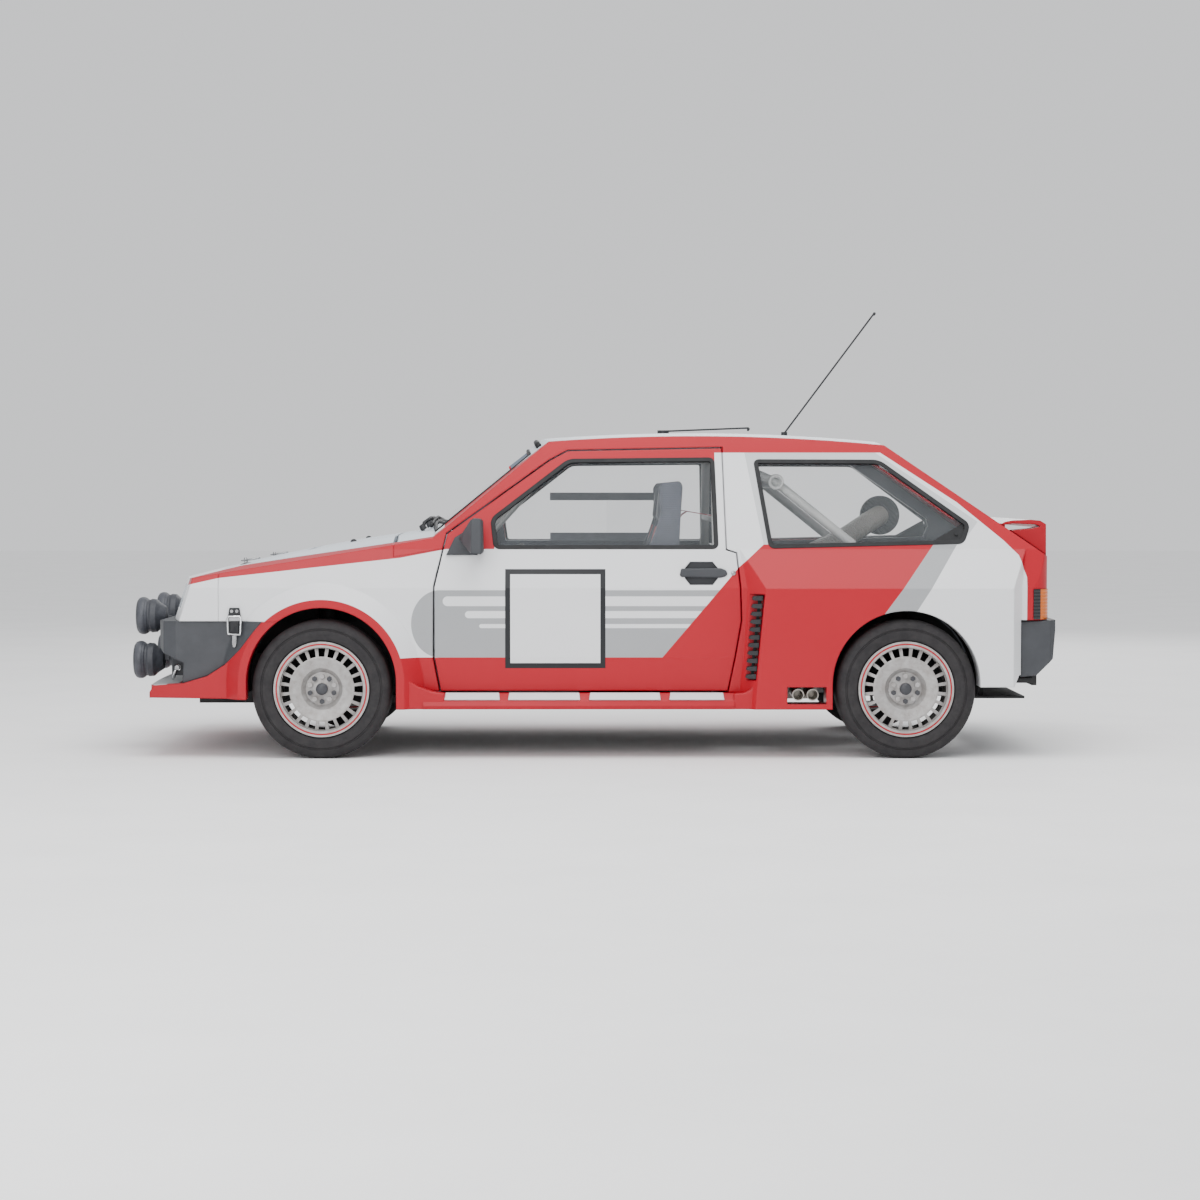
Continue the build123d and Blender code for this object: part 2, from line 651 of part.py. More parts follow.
def front_bumper_piece():
    outline = ((-1930, 577), (-1930, 460), (-1907, 442), (-1818, 400), (-1823, 316), (-1400, 316),
               (-1400, 577))
    bumper = prism_y(outline, -788, 788)
    bumper = bumper & prism_z([(-1400, -788), (-1850, -788), (-1905, -765), (-1930, -690), (-1930, 690),
                               (-1905, 765),
                               (-1850, 788), (-1400, 788)], 300, 600)
    bumper = bumper - block(-1860, -1300, -720, 720, 200, 700) - block(-1840, -1300, -600, 600, 200, 700)
    blend = front_flare() & block(-2000, front_axle_x, -900, -720, 316, bumper_top_z)
    bumper = (bumper + both_sides(blend)) & block(-2000, front_axle_x, -900, 900, 300,
                                                  bumper_top_z - seat_gap)
    skirt_zone = both_sides(prism_y(grown(skirt_outline, seat_gap), -900,
                                    -skirt_half + skirt_wall + seat_gap))
    bumper = bumper - skirt_zone - block(-2000, -1500, -900, 900, 200, 307 + seat_gap) - front_arch
    for y in (-520, 520):
        lug = block(-1905, -1815, y - 10, y + 10, 332, 425)
        bumper = bumper + (lug - rod((-1880, y - 20, 366), (-1880, y + 20, 366), tow_eye_radius))
    return bumper


def rear_bumper_piece():
    bumper = prism_y(rear_bumper_outline, -788, 788)
    bumper = bumper & prism_z([(1719, -788), (1846, -788), (1870, -768), (1874, -700), (1874, 700),
                               (1870, 768),
                               (1846, 788), (1719, 788)], 300, 700)
    bumper = bumper - block(1700, 1806, -735, 735, 300, 700)
    return bumper


def sill():
    """Left moulding below the door."""
    profile = [(-742, sill_z), (-850, sill_z), (-856, 222), (-848, 244), (-812, 274), (-742, 274)]
    return prism_x(profile, -804, 509.5)


# Glass
def windscreen_glass():
    pane = body_form(0, 0, 4, 0, 0) - body_form(0, 0, 4 + glass_thickness, 0, 0)
    return pane & screen_opening(-glass_gap)


def hatch_glass():
    pane = body_form(0, 0, 4, 0, 0) - body_form(0, 0, 4 + glass_thickness, 0, 0)
    return pane & hatch_opening(-glass_gap)


def side_glass(outline):
    pane = prism_x(side_section(14), -2000, 2000) - prism_x(side_section(14 + glass_thickness), -2000, 2000)
    return pane & prism_y(grown(outline, -glass_gap), -900, 0)


# Lamps and small fittings
def headlamp():
    glass = (outer - body_form(0, 0, 0, 0, 60)) & block(-2100, -1700, -690 + glass_gap, -440 - glass_gap,
                                                        628 + glass_gap,
                                                        728 - glass_gap)
    return glass


def tail_lamp():
    """Left tail lamp, wrapped round the corner of the body."""
    x0, z0, z1 = tail_lamp_window
    zone = block(x0 + seat_gap, 1900, -900, -tail_lamp_inner_half - seat_gap, z0 + seat_gap, z1 - seat_gap)
    return (body_form(-2, 0, -4, 0, 0) - body_form(56, 0, 56, 0, 0)) & zone


def lamp_set():
    """Four round lamps on a frame in front of the bumper."""
    frame = block(-1960, nose_foot[0] - seat_gap, -420, 420, 470, 500)
    for side, half, height, front in lamp_table:
        x = front
        profile = Polyline((x + 5, 0), (x, 46), (x + 3, lamp_radius - 14), (x + 10, lamp_radius - 4),
                           (x + 22, lamp_radius), (x + 40, lamp_radius - 1), (x + 52, lamp_radius - 10),
                           (x + 58, lamp_radius - 11), (x + 66, lamp_radius - 7), (x + 88, lamp_radius - 9),
                           (x + 104, lamp_radius - 24), (x + 130, 40), (x + 138, 0), close=True)
        body = revolve(make_face(profile), Axis.X)
        frame = frame + Pos(0, side * half, height) * body
        low, high = sorted((height, 485))
        frame = frame + block(-1965, -1940, side * half - 14, side * half + 14, low, high)
    return frame


def mirror_piece():
    """Left door mirror: a wedge-shaped head on a triangular foot."""
    foot_half = half_at(900) + 2
    foot = prism_y([(-708, 856), (-672, 930), (-640, 950), (-590, 950), (-575, 856)], -foot_half - 24,
                   -foot_half + 60)
    head = prism_y([(-652, 925), (-640, 945), (-600, 1004), (-588, 1012), (-560, 1010), (-551, 1000),
                    (-548, 872),
                    (-556, 862), (-600, 868)], -foot_half - mirror_reach, -foot_half - 20)
    plan = prism_z([(-652, -foot_half - 20), (-640, -foot_half - 90), (-596, -foot_half - mirror_reach),
                    (-556, -foot_half - mirror_reach), (-540, -foot_half - mirror_reach + 20), (-540,
                                                                                                -foot_half - 20)],
                   800, 1100)
    return foot + (head & plan) - prism_x(side_section(-seat_gap), -1000, 0)


def aerials():
    front_z, rear_z = height_on(roof_line, 228) + 1, height_on(roof_line, 772) + 1
    short = rod((228, 0, front_z), (228, 0, front_z + 14), 26) + rod((232, 0, front_z + 10), (613, 0, 1409),
                                                                     4)
    tall = rod((772, 0, rear_z), (772, 0, rear_z + 16), 14) + rod((772, 0, rear_z + 10), (1177, 0, 1926), 4)
    return short + tall


# Cabin and engine bay
def floor_pan():
    """Flat floor, its tongue under the front bay and the wall behind the seats."""
    pan = block(firewall_front_x + 20, bulkhead_rear_x, -712, 712, floor_low_z, floor_top_z)
    pan = pan + block(-1800, firewall_rear_x + 40, -430, 430, floor_low_z, floor_top_z)
    return pan + block(bulkhead_front_x, bulkhead_rear_x, -700, 700, floor_low_z, 860)


def frame_rails():
    """Box rails ahead of and behind the floor, with the bumper carriers, the undertray and the rear tow eye."""
    rail = block(bulkhead_rear_x + seat_gap, 1800, -rail_outer_half, -rail_inner_half, rail_low_z, rail_top_z)
    rail = rail + block(1560, 1800, -715, -rail_inner_half, rail_low_z - 8, rail_low_z + 12)
    rear = both_sides(rail) + block(1780, 1800, -715, 715, 300, 560)
    rear = rear + block(1548, 1790, -450, 450, 225, 235)
    rear = rear + block(1600, 1616, -rail_outer_half, rail_outer_half, 230, rail_low_z + 2)
    eye = block(1790, 1850, -12, 12, 275, 340) - rod((1828, -40, 305), (1828, 40, 305), tow_eye_radius)
    front = block(-1858, -1500, -430, -390, floor_top_z + seat_gap, 420)
    front = front + block(-1858, -1832, -500, -390, 330, 420)
    return rear + eye + both_sides(front)


def seat():
    """Left bucket seat."""
    foot = floor_top_z + seat_gap
    shape = prism_y([(-150, foot), (-160, 420), (-90, 440), (140, 400), (165, 560), (200, 1130), (230, 1175),
                     (285, 1175),
                     (300, 1150), (250, 420), (240, foot)], -seat_half - 235, -seat_half + 235)
    shape = shape + both_sides_of(-seat_half, prism_y([(-130, 300), (-130, 470), (100, 470), (215, 640),
                                                       (290, 640),
                                                       (255, 300)], -seat_half - 240, -seat_half - 190))
    return shape


def both_sides_of(y, shape):
    return shape + mirror(shape, about=Plane((0, y, 0), x_dir=(1, 0, 0), z_dir=(0, 1, 0)))


def column_axis():
    tilt = math.radians(column_tilt)
    return Vector(math.cos(tilt), 0, math.sin(tilt))


def dashboard_piece():
    front = firewall_rear_x + seat_gap
    panel = prism_y([(front, 700), (front, 880), (-640, 905), (-520, 860), (-500, 800), (-540, 640),
                     (-620, 600)], -600, 600)
    panel = panel & prism_x(side_section(side_wall + 22), -2000, 0)
    panel = panel & bowed_form(screen_foot, screen_head, screen_bow, screen_wall + 14)
    toward = column_axis()
    end = Vector(*column_point)
    panel = panel + rod(tuple(end - toward * 330), tuple(end - toward * 40), 24)
    return panel + rod(tuple(end - toward * 60), tuple(end + toward * 24), 9)


def steering_wheel_piece():
    toward = column_axis()
    plane = Plane(origin=column_point, z_dir=toward)
    ring = Torus(wheel_rim_radius, 14)
    hub = Pos(0, 0, 2) * Cylinder(40, 34)
    for turn in (0, 120, 240):
        hub = hub + Rot(0, 0, turn + 90) * Pos(wheel_rim_radius / 2, 0, 0) * Box(wheel_rim_radius, 26, 8)
    hub = hub - Cylinder(9 + running_clearance, 120)
    return plane * (hub + ring)


def cage():
    tube = cage_tube_radius
    hoop_x, hoop_z, hoop_half = 440, 1275, 495
    foot = floor_top_z + seat_gap + 1
    left = [
        [(hoop_x, -640, foot), (hoop_x, -672, 860), (hoop_x, -hoop_half, hoop_z)],
        [(-690, -640, foot), (-690, -668, 800), (-255, -hoop_half, hoop_z), (hoop_x, -hoop_half, hoop_z)],
        [(hoop_x, -hoop_half, hoop_z), (700, -hoop_half, 1165), (1030, -hoop_half, 900),
         (1060, -hoop_half, 560)],
    ]
    frame = None
    for chain in left:
        piece = tube_path(chain, tube)
        frame = piece if frame is None else frame + piece
    frame = both_sides(frame)
    for x, z, half in ((hoop_x, hoop_z, hoop_half), (-255, hoop_z, hoop_half), (hoop_x, 640, 655)):
        frame = frame + rod((x, -half, z), (x, half, z), tube - 1.5)
    cross = rod((700, -530, 1165), (700, 530, 1165), 25) - rod((700, -540, 1165), (700, 540, 1165), 18)
    return frame + cross


def engine_piece():
    block_part = block(560, 1050, -300, 300, 240, 640) + block(600, 1000, -220, 220, 640, 760)
    block_part = block_part + block(1050, 1350, -gearbox_half, gearbox_half, 225, 480)
    mount_half = rail_inner_half - seat_gap
    block_part = block_part + block(900, 960, -mount_half, mount_half, rail_low_z + 5, rail_top_z - 5)
    hose = tube_path([(900, 200, 740), (940, 260, 850), (1080, 380, 910), (1200, 500, 980),
                      (1262, 585, 1012)], 48)
    flange = rod((1262, 575, 1012), (1262, 612, 1012), 92)
    return block_part + hose + (flange & prism_x(side_section(side_wall - 34), 0, 1800))


def exhaust_piece():
    pipes = None
    for x in (774, 835):
        pipe = rod((x, -868, 270), (x, -300 - seat_gap, 270), 25)
        pipes = pipe if pipes is None else pipes + pipe
    pipes = pipes + block(740, 870, -640, -420, 238, 302)
    for x in (774, 835):
        pipes = pipes - rod((x, -900, 270), (x, -700, 270), 21)
    return pipes


# Running gear
def rim():
    """Left wheel rim at the origin, its outer face towards -Y."""
    outline = ((0, 20), (0, -82), (22, -82), (26, -56), (70, -48), (88, -74), (132, -84), (176, -72),
               (177, -100),
               (rim_flange_radius, -100), (rim_flange_radius, -92), (rim_seat_radius, -86), (rim_seat_radius,
                                                                                             86),
               (rim_flange_radius, 92), (rim_flange_radius, 100), (176, 100), (176, -58), (132, -68), (95,
                                                                                                       -58),
               (76, -32), (60, -30), (60, 20))
    shape = revolve(make_face(Polyline(*[(r, y, 0) for r, y in outline], close=True)), Axis.Y)
    inner, outer_end = slot_inner_width / 2, slot_outer_width / 2
    slot = prism_y([(-inner, slot_inner_radius), (inner, slot_inner_radius), (outer_end, slot_outer_radius),
                    (-outer_end, slot_outer_radius)], -95, -45)
    for number in range(slot_count):
        shape = shape - slot.rotate(Axis.Y, number * 360 / slot_count)
    for number in range(stud_count):
        turn = math.radians(90 + number * 360 / stud_count)
        x, z = stud_circle_radius * math.cos(turn), stud_circle_radius * math.sin(turn)
        shape = shape + rod((x, -66, z), (x, -40, z), 10)
    return shape - rod((0, -70, 0), (0, 100, 0), spindle_radius + running_clearance)


def tyre():
    """Tyre at the origin, between the two rim flanges."""
    seat = rim_seat_radius + rim_fit
    half = tyre_width / 2
    outline = ((seat, -85), (rim_flange_radius + 4, -91), (rim_flange_radius + 6, -97), (232, -half),
               (258, -half),
               (284, -92), (tyre_radius, -76), (tyre_radius, 76), (284, 92), (258, half), (232, half),
               (rim_flange_radius + 6, 97), (rim_flange_radius + 4, 91), (seat, 85))
    return revolve(make_face(Polyline(*[(r, y, 0) for r, y in outline], close=True)), Axis.Y)


def knuckle():
    """Left front upright: it turns on the kingpins and carries the spindle."""
    y = -kingpin_half
    upright = block(front_axle_x - 30, front_axle_x + 30, y - 24, y + 24, 208, 392)
    spindle = rod((front_axle_x, y, axle_z), (front_axle_x, y - 132, axle_z), spindle_radius)
    disc = rod((front_axle_x, y - 26, axle_z), (front_axle_x, y - 36, axle_z), brake_disc_radius)
    disc = disc + rod((front_axle_x, y - 20, axle_z), (front_axle_x, y - 38, axle_z), 34)
    arm = block(front_axle_x + 20, front_axle_x + 130, y + 2, y + 22, 330, 352)
    bore = rod((front_axle_x, y, 200), (front_axle_x, y, 236), kingpin_radius + running_clearance)
    bore = bore + rod((front_axle_x, y, 364), (front_axle_x, y, 400), kingpin_radius + running_clearance)
    return upright + spindle + disc + arm - bore


def front_suspension_piece():
    y = -kingpin_half
    left = rod((front_axle_x, y, 168), (front_axle_x, y, 234), kingpin_radius)
    left = left + rod((front_axle_x, y, 366), (front_axle_x, y, 440), kingpin_radius)
    for low, high in ((168, 200), (400, 440)):
        left = left + rod((front_axle_x, y, low), (front_axle_x, y, high), kingpin_boss_radius)
    for side in (-1, 1):
        left = left + tube_path([(front_axle_x, y, 184), (front_axle_x + side * 44, y + 110, 184),
                                 (front_axle_x + side * 90, -415, 258)], 12)
    left = left + rod((front_axle_x, y, 420), (front_axle_x, -450, 420), 13)
    left = left + rod((front_axle_x, -520, 420), (front_axle_x, -505, 560), 14)
    left = left + rod((front_axle_x, -511, 500), (front_axle_x, -470, 740), 46)
    frame = both_sides(left)
    frame = frame + both_sides(block(front_axle_x - 110, front_axle_x + 110, -428, -372,
                                     floor_top_z + seat_gap, 280))
    frame = frame + both_sides(block(front_axle_x - 40, front_axle_x + 40, -480, -400, 275, 780))
    return frame + block(front_axle_x - 40, front_axle_x + 40, -440, 440, 690, 730)


def rear_suspension_piece():
    left = rod((rear_axle_x, -wheel_half + 90, axle_z), (rear_axle_x, -wheel_half - 66, axle_z),
               spindle_radius)
    left = left + rod((rear_axle_x, -wheel_half + 56, axle_z),
                      (rear_axle_x, -gearbox_half - seat_gap, axle_z), 20)
    left = left + block(rear_axle_x - 34, rear_axle_x + 34, -700, -640, 190, 400)
    rail = -rail_outer_half
    left = left + block(rear_axle_x - 120, rear_axle_x + 120, rail - 70, rail - 4, 245, 290)
    for side in (-1, 1):
        left = left + rod((rear_axle_x, -650, 205), (rear_axle_x + side * 110, rail - 40, 262), 16)
    left = left + rod((rear_axle_x, -650, 380), (rear_axle_x, rail - 70, 760), 40)
    left = left + block(rear_axle_x - 60, rear_axle_x + 60, rail - 80, rail - seat_gap, 285, 790)
    return both_sides(left)


def collect():
    parts["nose_panel"] = nose_panel()
    parts["bonnet"] = bonnet_panel()
    parts["scuttle"] = scuttle_and_firewall()
    parts["roof_panel"] = roof_panel()
    parts["tailgate"] = tailgate_panel()
    parts["spoiler"] = spoiler_piece()
    parts["windscreen"] = windscreen_glass()
    parts["tailgate_glass"] = hatch_glass()
    pairs = (
        ("wing", wing()),
        ("side", body_side()),
        ("door", door()),
        ("door_glass", side_glass(door_window)),
        ("mirror", mirror_piece()),
        ("knuckle", knuckle()),
    )
    for name, left in pairs:
        parts[name + "_left"] = left
        parts[name + "_right"] = mirrored(left)
    doubles = (
        ("quarter_glass", side_glass(quarter_window)),
        ("louvres", louvre_set()),
        ("sills", sill()),
        ("headlamps", headlamp()),
        ("tail_lamps", tail_lamp()),
        ("seats", seat()),
    )
    for name, left in doubles:
        parts[name] = both_sides(left)
    parts["aerials"] = aerials()
    parts["front_skirt"] = front_skirt_piece()
    parts["front_bumper"] = front_bumper_piece()
    parts["rear_bumper"] = rear_bumper_piece()
    parts["lamp_set"] = lamp_set()
    parts["floor_pan"] = floor_pan()
    parts["frame_rails"] = frame_rails()
    parts["dashboard"] = dashboard_piece()
    parts["steering_wheel"] = steering_wheel_piece()
    parts["roll_cage"] = cage()
    parts["engine"] = engine_piece()
    parts["exhaust"] = exhaust_piece()
    parts["front_suspension"] = front_suspension_piece()
    parts["rear_suspension"] = rear_suspension_piece()
    one_rim, one_tyre = rim(), tyre()
    corners = (
        ("front_left", front_axle_x, -1),
        ("front_right", front_axle_x, 1),
        ("rear_left", rear_axle_x, -1),
        ("rear_right", rear_axle_x, 1),
    )
    for name, x, side in corners:
        here = Pos(x, side * wheel_half, axle_z)
        parts["rim_" + name] = here * (one_rim if side < 0 else mirrored(one_rim))
        parts["tyre_" + name] = here * (one_tyre if side < 0 else mirrored(one_tyre))


if __name__ == "__main__":
    collect()
    os.makedirs("parts", exist_ok=True)
    for name, shape in parts.items():
        export_step(Pos(-middle_x, 0, 0) * shape, "parts/" + name + ".step")
        print(name, [round(piece.volume / 1000) for piece in shape.solids()])
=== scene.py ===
import math

import bmesh
import bpy
from mathutils import Matrix, Vector


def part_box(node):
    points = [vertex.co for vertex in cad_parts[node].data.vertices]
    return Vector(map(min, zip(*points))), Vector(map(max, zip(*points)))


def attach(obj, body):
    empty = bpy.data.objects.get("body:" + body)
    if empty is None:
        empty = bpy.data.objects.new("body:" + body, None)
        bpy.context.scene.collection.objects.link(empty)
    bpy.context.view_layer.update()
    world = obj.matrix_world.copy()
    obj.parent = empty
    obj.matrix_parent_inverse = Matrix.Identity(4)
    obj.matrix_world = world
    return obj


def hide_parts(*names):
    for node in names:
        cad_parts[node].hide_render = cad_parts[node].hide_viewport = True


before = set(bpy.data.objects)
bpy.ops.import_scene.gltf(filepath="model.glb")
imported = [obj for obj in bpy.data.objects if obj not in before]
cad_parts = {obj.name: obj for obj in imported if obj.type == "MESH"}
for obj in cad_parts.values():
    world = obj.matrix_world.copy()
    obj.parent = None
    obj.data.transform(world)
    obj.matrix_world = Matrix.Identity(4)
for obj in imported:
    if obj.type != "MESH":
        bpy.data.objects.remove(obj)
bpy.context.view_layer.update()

# Camera, floor and light: a still of the left flank from twelve metres away, with a long lens
# a little above the waist line, on a pale seamless floor under large softboxes and an even sky.
near_axle = [sum(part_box("tyre_" + end + "_left"), Vector()) / 2 for end in ("front", "rear")]
mid_x = (near_axle[0].x + near_axle[1].x) / 2
near_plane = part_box("tyre_front_left")[0].y
stand_off, eye_height, aim_height = 11.9, 1.130, 0.669
eye = Vector((mid_x - 0.100, near_plane - stand_off, eye_height))
aim = Vector((mid_x - 0.0585, near_plane, aim_height))
lens = bpy.data.cameras.new("photo_camera")
lens.lens = 85.1
lens.sensor_width = 36.0
lens.clip_end = 100.0
camera = bpy.data.objects.new("photo_camera", lens)
camera.location = eye
camera.rotation_euler = (math.atan2(stand_off, eye.z - aim.z), 0.0, math.atan2(-(aim.x - eye.x), stand_off))
bpy.context.scene.collection.objects.link(camera)
bpy.context.scene.camera = camera


def linear(hex_colour):
    """Linear colour of an sRGB hex value."""
    parts = [int(hex_colour[i:i + 2], 16) / 255 for i in (1, 3, 5)]
    return [c / 12.92 if c <= 0.04045 else ((c + 0.055) / 1.055) ** 2.4 for c in parts] + [1.0]


def add(tree, kind, inputs=None, **settings):
    """One shader node with its settings; an input is a value or another node's output."""
    made = tree.nodes.new("ShaderNode" + kind)
    for name, value in settings.items():
        setattr(made, name, value)
    for name, value in (inputs or {}).items():
        if isinstance(value, bpy.types.NodeSocket):
            tree.links.new(value, made.inputs[name])
        else:
            made.inputs[name].default_value = value
    return made


def new_finish(name, **sockets):
    """A material with one shader; constants go straight on the shader's own sockets."""
    material = bpy.data.materials.new(name)
    material.use_nodes = True
    tree = material.node_tree
    tree.nodes.clear()
    inputs = {key.replace("_", " ").title().replace("Ior", "IOR"): value for key, value in sockets.items()}
    shader = add(tree, "BsdfPrincipled", inputs)
    add(tree, "OutputMaterial", {"Surface": shader.outputs[0]})
    place = add(tree, "TexCoord").outputs["Object"]
    return material, tree, shader, place


def mottled(tree, place, colours, grain):
    """Colour that wanders between two tones at a grain size in metres."""
    noise = add(tree, "TexNoise", {"Vector": place, "Scale": 1 / grain, "Detail": 6.0, "Roughness": 0.6})
    ramp = add(tree, "ValToRGB", {"Fac": noise.outputs["Fac"]})
    for stop, place_on_ramp, tone in zip(ramp.color_ramp.elements, (0.35, 0.65), colours):
        stop.position = place_on_ramp
        stop.color = linear(tone)
    return ramp.outputs["Color"]


def spread(tree, value, low, high):
    """A 0 to 1 output stretched to a range."""
    return add(tree, "MapRange", {"Value": value, "To Min": low, "To Max": high}).outputs["Result"]


def roughened(tree, shader, place, grain, rough, height, edge=0.0):
    """Fine surface grain: it drives the roughness and a bump, over edges eased by a radius in metres."""
    grit = add(tree, "TexNoise", {"Vector": place, "Scale": 1 / grain, "Detail": 3.0}).outputs["Fac"]
    tree.links.new(spread(tree, grit, *rough), shader.inputs["Roughness"])
    bump = add(tree, "Bump", {"Height": grit, "Strength": 0.3, "Distance": height})
    if edge:
        tree.links.new(add(tree, "Bevel", {"Radius": edge}, samples=4).outputs["Normal"],
                       bump.inputs["Normal"])
    tree.links.new(bump.outputs["Normal"], shader.inputs["Normal"])


def object_of(name, shape):
    """Turns a bmesh into an object of the scene."""
    mesh = bpy.data.meshes.new(name)
    shape.to_mesh(mesh)
    shape.free()
    made = bpy.data.objects.new(name, mesh)
    bpy.context.scene.collection.objects.link(made)
    return made


floor_finish, tree, shader, place = new_finish("seamless_studio_floor", roughness=0.9)
tree.links.new(mottled(tree, place, ("#F6F6F6", "#FAFAFA"), 0.6), shader.inputs["Base Color"])
shape = bmesh.new()
bmesh.ops.create_grid(shape, x_segments=2, y_segments=2, size=40.0)
floor = object_of("studio_floor", shape)
floor.data.materials.append(floor_finish)

sky = bpy.data.worlds.new("studio_sky")
sky.use_nodes = True
sky.node_tree.nodes["Background"].inputs["Color"].default_value = linear("#FCFDFF")
sky.node_tree.nodes["Background"].inputs["Strength"].default_value = 0.95
bpy.context.scene.world = sky
for name, spot, size, power in (
    # name, position, side length in metres, watts
    ("overhead_softbox", (0.5, -2.5, 7.0), 6.0, 460.0),
    ("side_softbox", (-2.5, -9.0, 4.0), 5.0, 390.0),
    ("far_softbox", (2.0, 8.0, 5.0), 5.0, 220.0),
):
    lamp = bpy.data.lights.new(name, "AREA")
    lamp.size = size
    lamp.energy = power
    held = bpy.data.objects.new(name, lamp)
    held.location = spot
    held.rotation_euler = (Vector((0, 0, 0.6)) - Vector(spot)).to_track_quat("-Z", "Y").to_euler()
    bpy.context.scene.collection.objects.link(held)

# Floor pan, rails and suspension: pressed and welded steel under black stone-chip paint, dusty
# from the road. Engine and gearbox are sand-cast aluminium; the intake hose on them is ribbed
# silicone, clamped to a moulded flange behind the quarter window.


def grained(name, tones, patch, grain, rough, height, edge=0.0, **sockets):
    """A finish of two tones that wander over patches of a size, under fine surface grain."""
    material, tree, shader, place = new_finish(name, **sockets)
    tree.links.new(mottled(tree, place, tones, patch), shader.inputs["Base Color"])
    roughened(tree, shader, place, grain, rough, height, edge)
    return material


chassis_paint = grained("stone_chip_paint", ("#17181A", "#29292A"), 0.09, 0.0025, (0.5, 0.7), 0.002,
                        specular_ior_level=0.4)

cast_finish, tree, shader, place = new_finish("cast_aluminium_and_hose")
hose_above, flange_beyond = 0.775, 0.572
parts = add(tree, "SeparateXYZ", {"Vector": place})
on_hose = add(tree, "Math", {0: parts.outputs["Z"], 1: hose_above}, operation="GREATER_THAN").outputs[0]
on_flange = add(tree, "Math", {0: parts.outputs["Y"], 1: flange_beyond}, operation="GREATER_THAN").outputs[0]
casting = mottled(tree, place, ("#6F7072", "#939394"), 0.05)
hose = add(tree, "Mix", {0: on_hose, 6: casting, 7: linear("#8E8C86")}, data_type="RGBA").outputs[2]
hose = add(tree, "Mix", {0: on_flange, 6: hose, 7: linear("#17171A")}, data_type="RGBA").outputs[2]
tree.links.new(hose, shader.inputs["Base Color"])
tree.links.new(add(tree, "Math", {0: 0.85, 1: on_hose}, operation="SUBTRACT", use_clamp=True).outputs[0],
               shader.inputs["Metallic"])
grit = add(tree, "TexNoise", {"Vector": place, "Scale": 250.0, "Detail": 4.0}).outputs["Fac"]
tree.links.new(spread(tree, grit, 0.42, 0.7), shader.inputs["Roughness"])
ribs = add(tree, "TexWave", {"Vector": place, "Scale": 22.0}, bands_direction="DIAGONAL").outputs["Fac"]
ribbed = add(tree, "Math", {0: ribs, 1: on_hose}, operation="MULTIPLY").outputs[0]
bump = add(tree, "Bump", {"Height": ribbed, "Strength": 0.6, "Distance": 0.006})
tree.links.new(bump.outputs["Normal"], shader.inputs["Normal"])

steel_finish = grained("exhaust_steel", ("#8C8680", "#B9B4AC"), 0.03, 0.016, (0.22, 0.5), 0.0005,
                       metallic=1.0)


def dress(finish, *nodes):
    """Gives CAD nodes a finish in place of their own."""
    for node in nodes:
        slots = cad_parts[node].data.materials
        slots.clear()
        slots.append(finish)


dress(chassis_paint, "floor_pan", "frame_rails", "front_suspension", "rear_suspension", "knuckle_left",
      "knuckle_right")
dress(cast_finish, "engine")
dress(steel_finish, "exhaust")

# Inner wings and arch liners: pressed sheet, rolled over each wheel and welded to the rails, in
# the same stone-chip paint. They close the arches, so that no light shows past the tyres.


def at(x, y, z):
    """Row-frame point of a station in millimetres from the middle of the wheelbase, on the road."""
    return Vector((mid_x + x / 1000, y / 1000, z / 1000))


def piece_of(name, shape, finish, body, replaces=()):
    """Turns a bmesh into a finished piece that rides on a body."""
    made = object_of(name, shape)
    made.data.materials.append(finish)
    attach(made, body)
    if replaces:
        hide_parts(*replaces)
    return made


def plate(shape, corners, depth, ease):
    """Adds a plate cut to an outline, thickened by a vector, with its edges eased."""
    face = shape.faces.new([shape.verts.new(corner) for corner in corners])
    grown = bmesh.ops.extrude_face_region(shape, geom=[face], use_keep_orig=True)["geom"]
    moved = [item for item in grown if isinstance(item, bmesh.types.BMVert)]
    bmesh.ops.translate(shape, verts=moved, vec=depth)
    walls = {wall for vert in moved + list(face.verts) for wall in vert.link_faces}
    bmesh.ops.recalc_face_normals(shape, faces=list(walls))
    if ease:
        edges = {edge for wall in walls for edge in wall.edges}
        bmesh.ops.bevel(shape, geom=list(edges), offset=ease, affect="EDGES", segments=3, profile=0.5,
                        material=-1)
    return walls


def shade(shape, crease):
    """Smooth faces, with a sharp edge where two of them meet at more than a crease angle in degrees."""
    for face in shape.faces:
        face.smooth = True
    for edge in shape.edges:
        if len(edge.link_faces) == 2 and edge.calc_face_angle() > math.radians(crease):
            edge.smooth = False


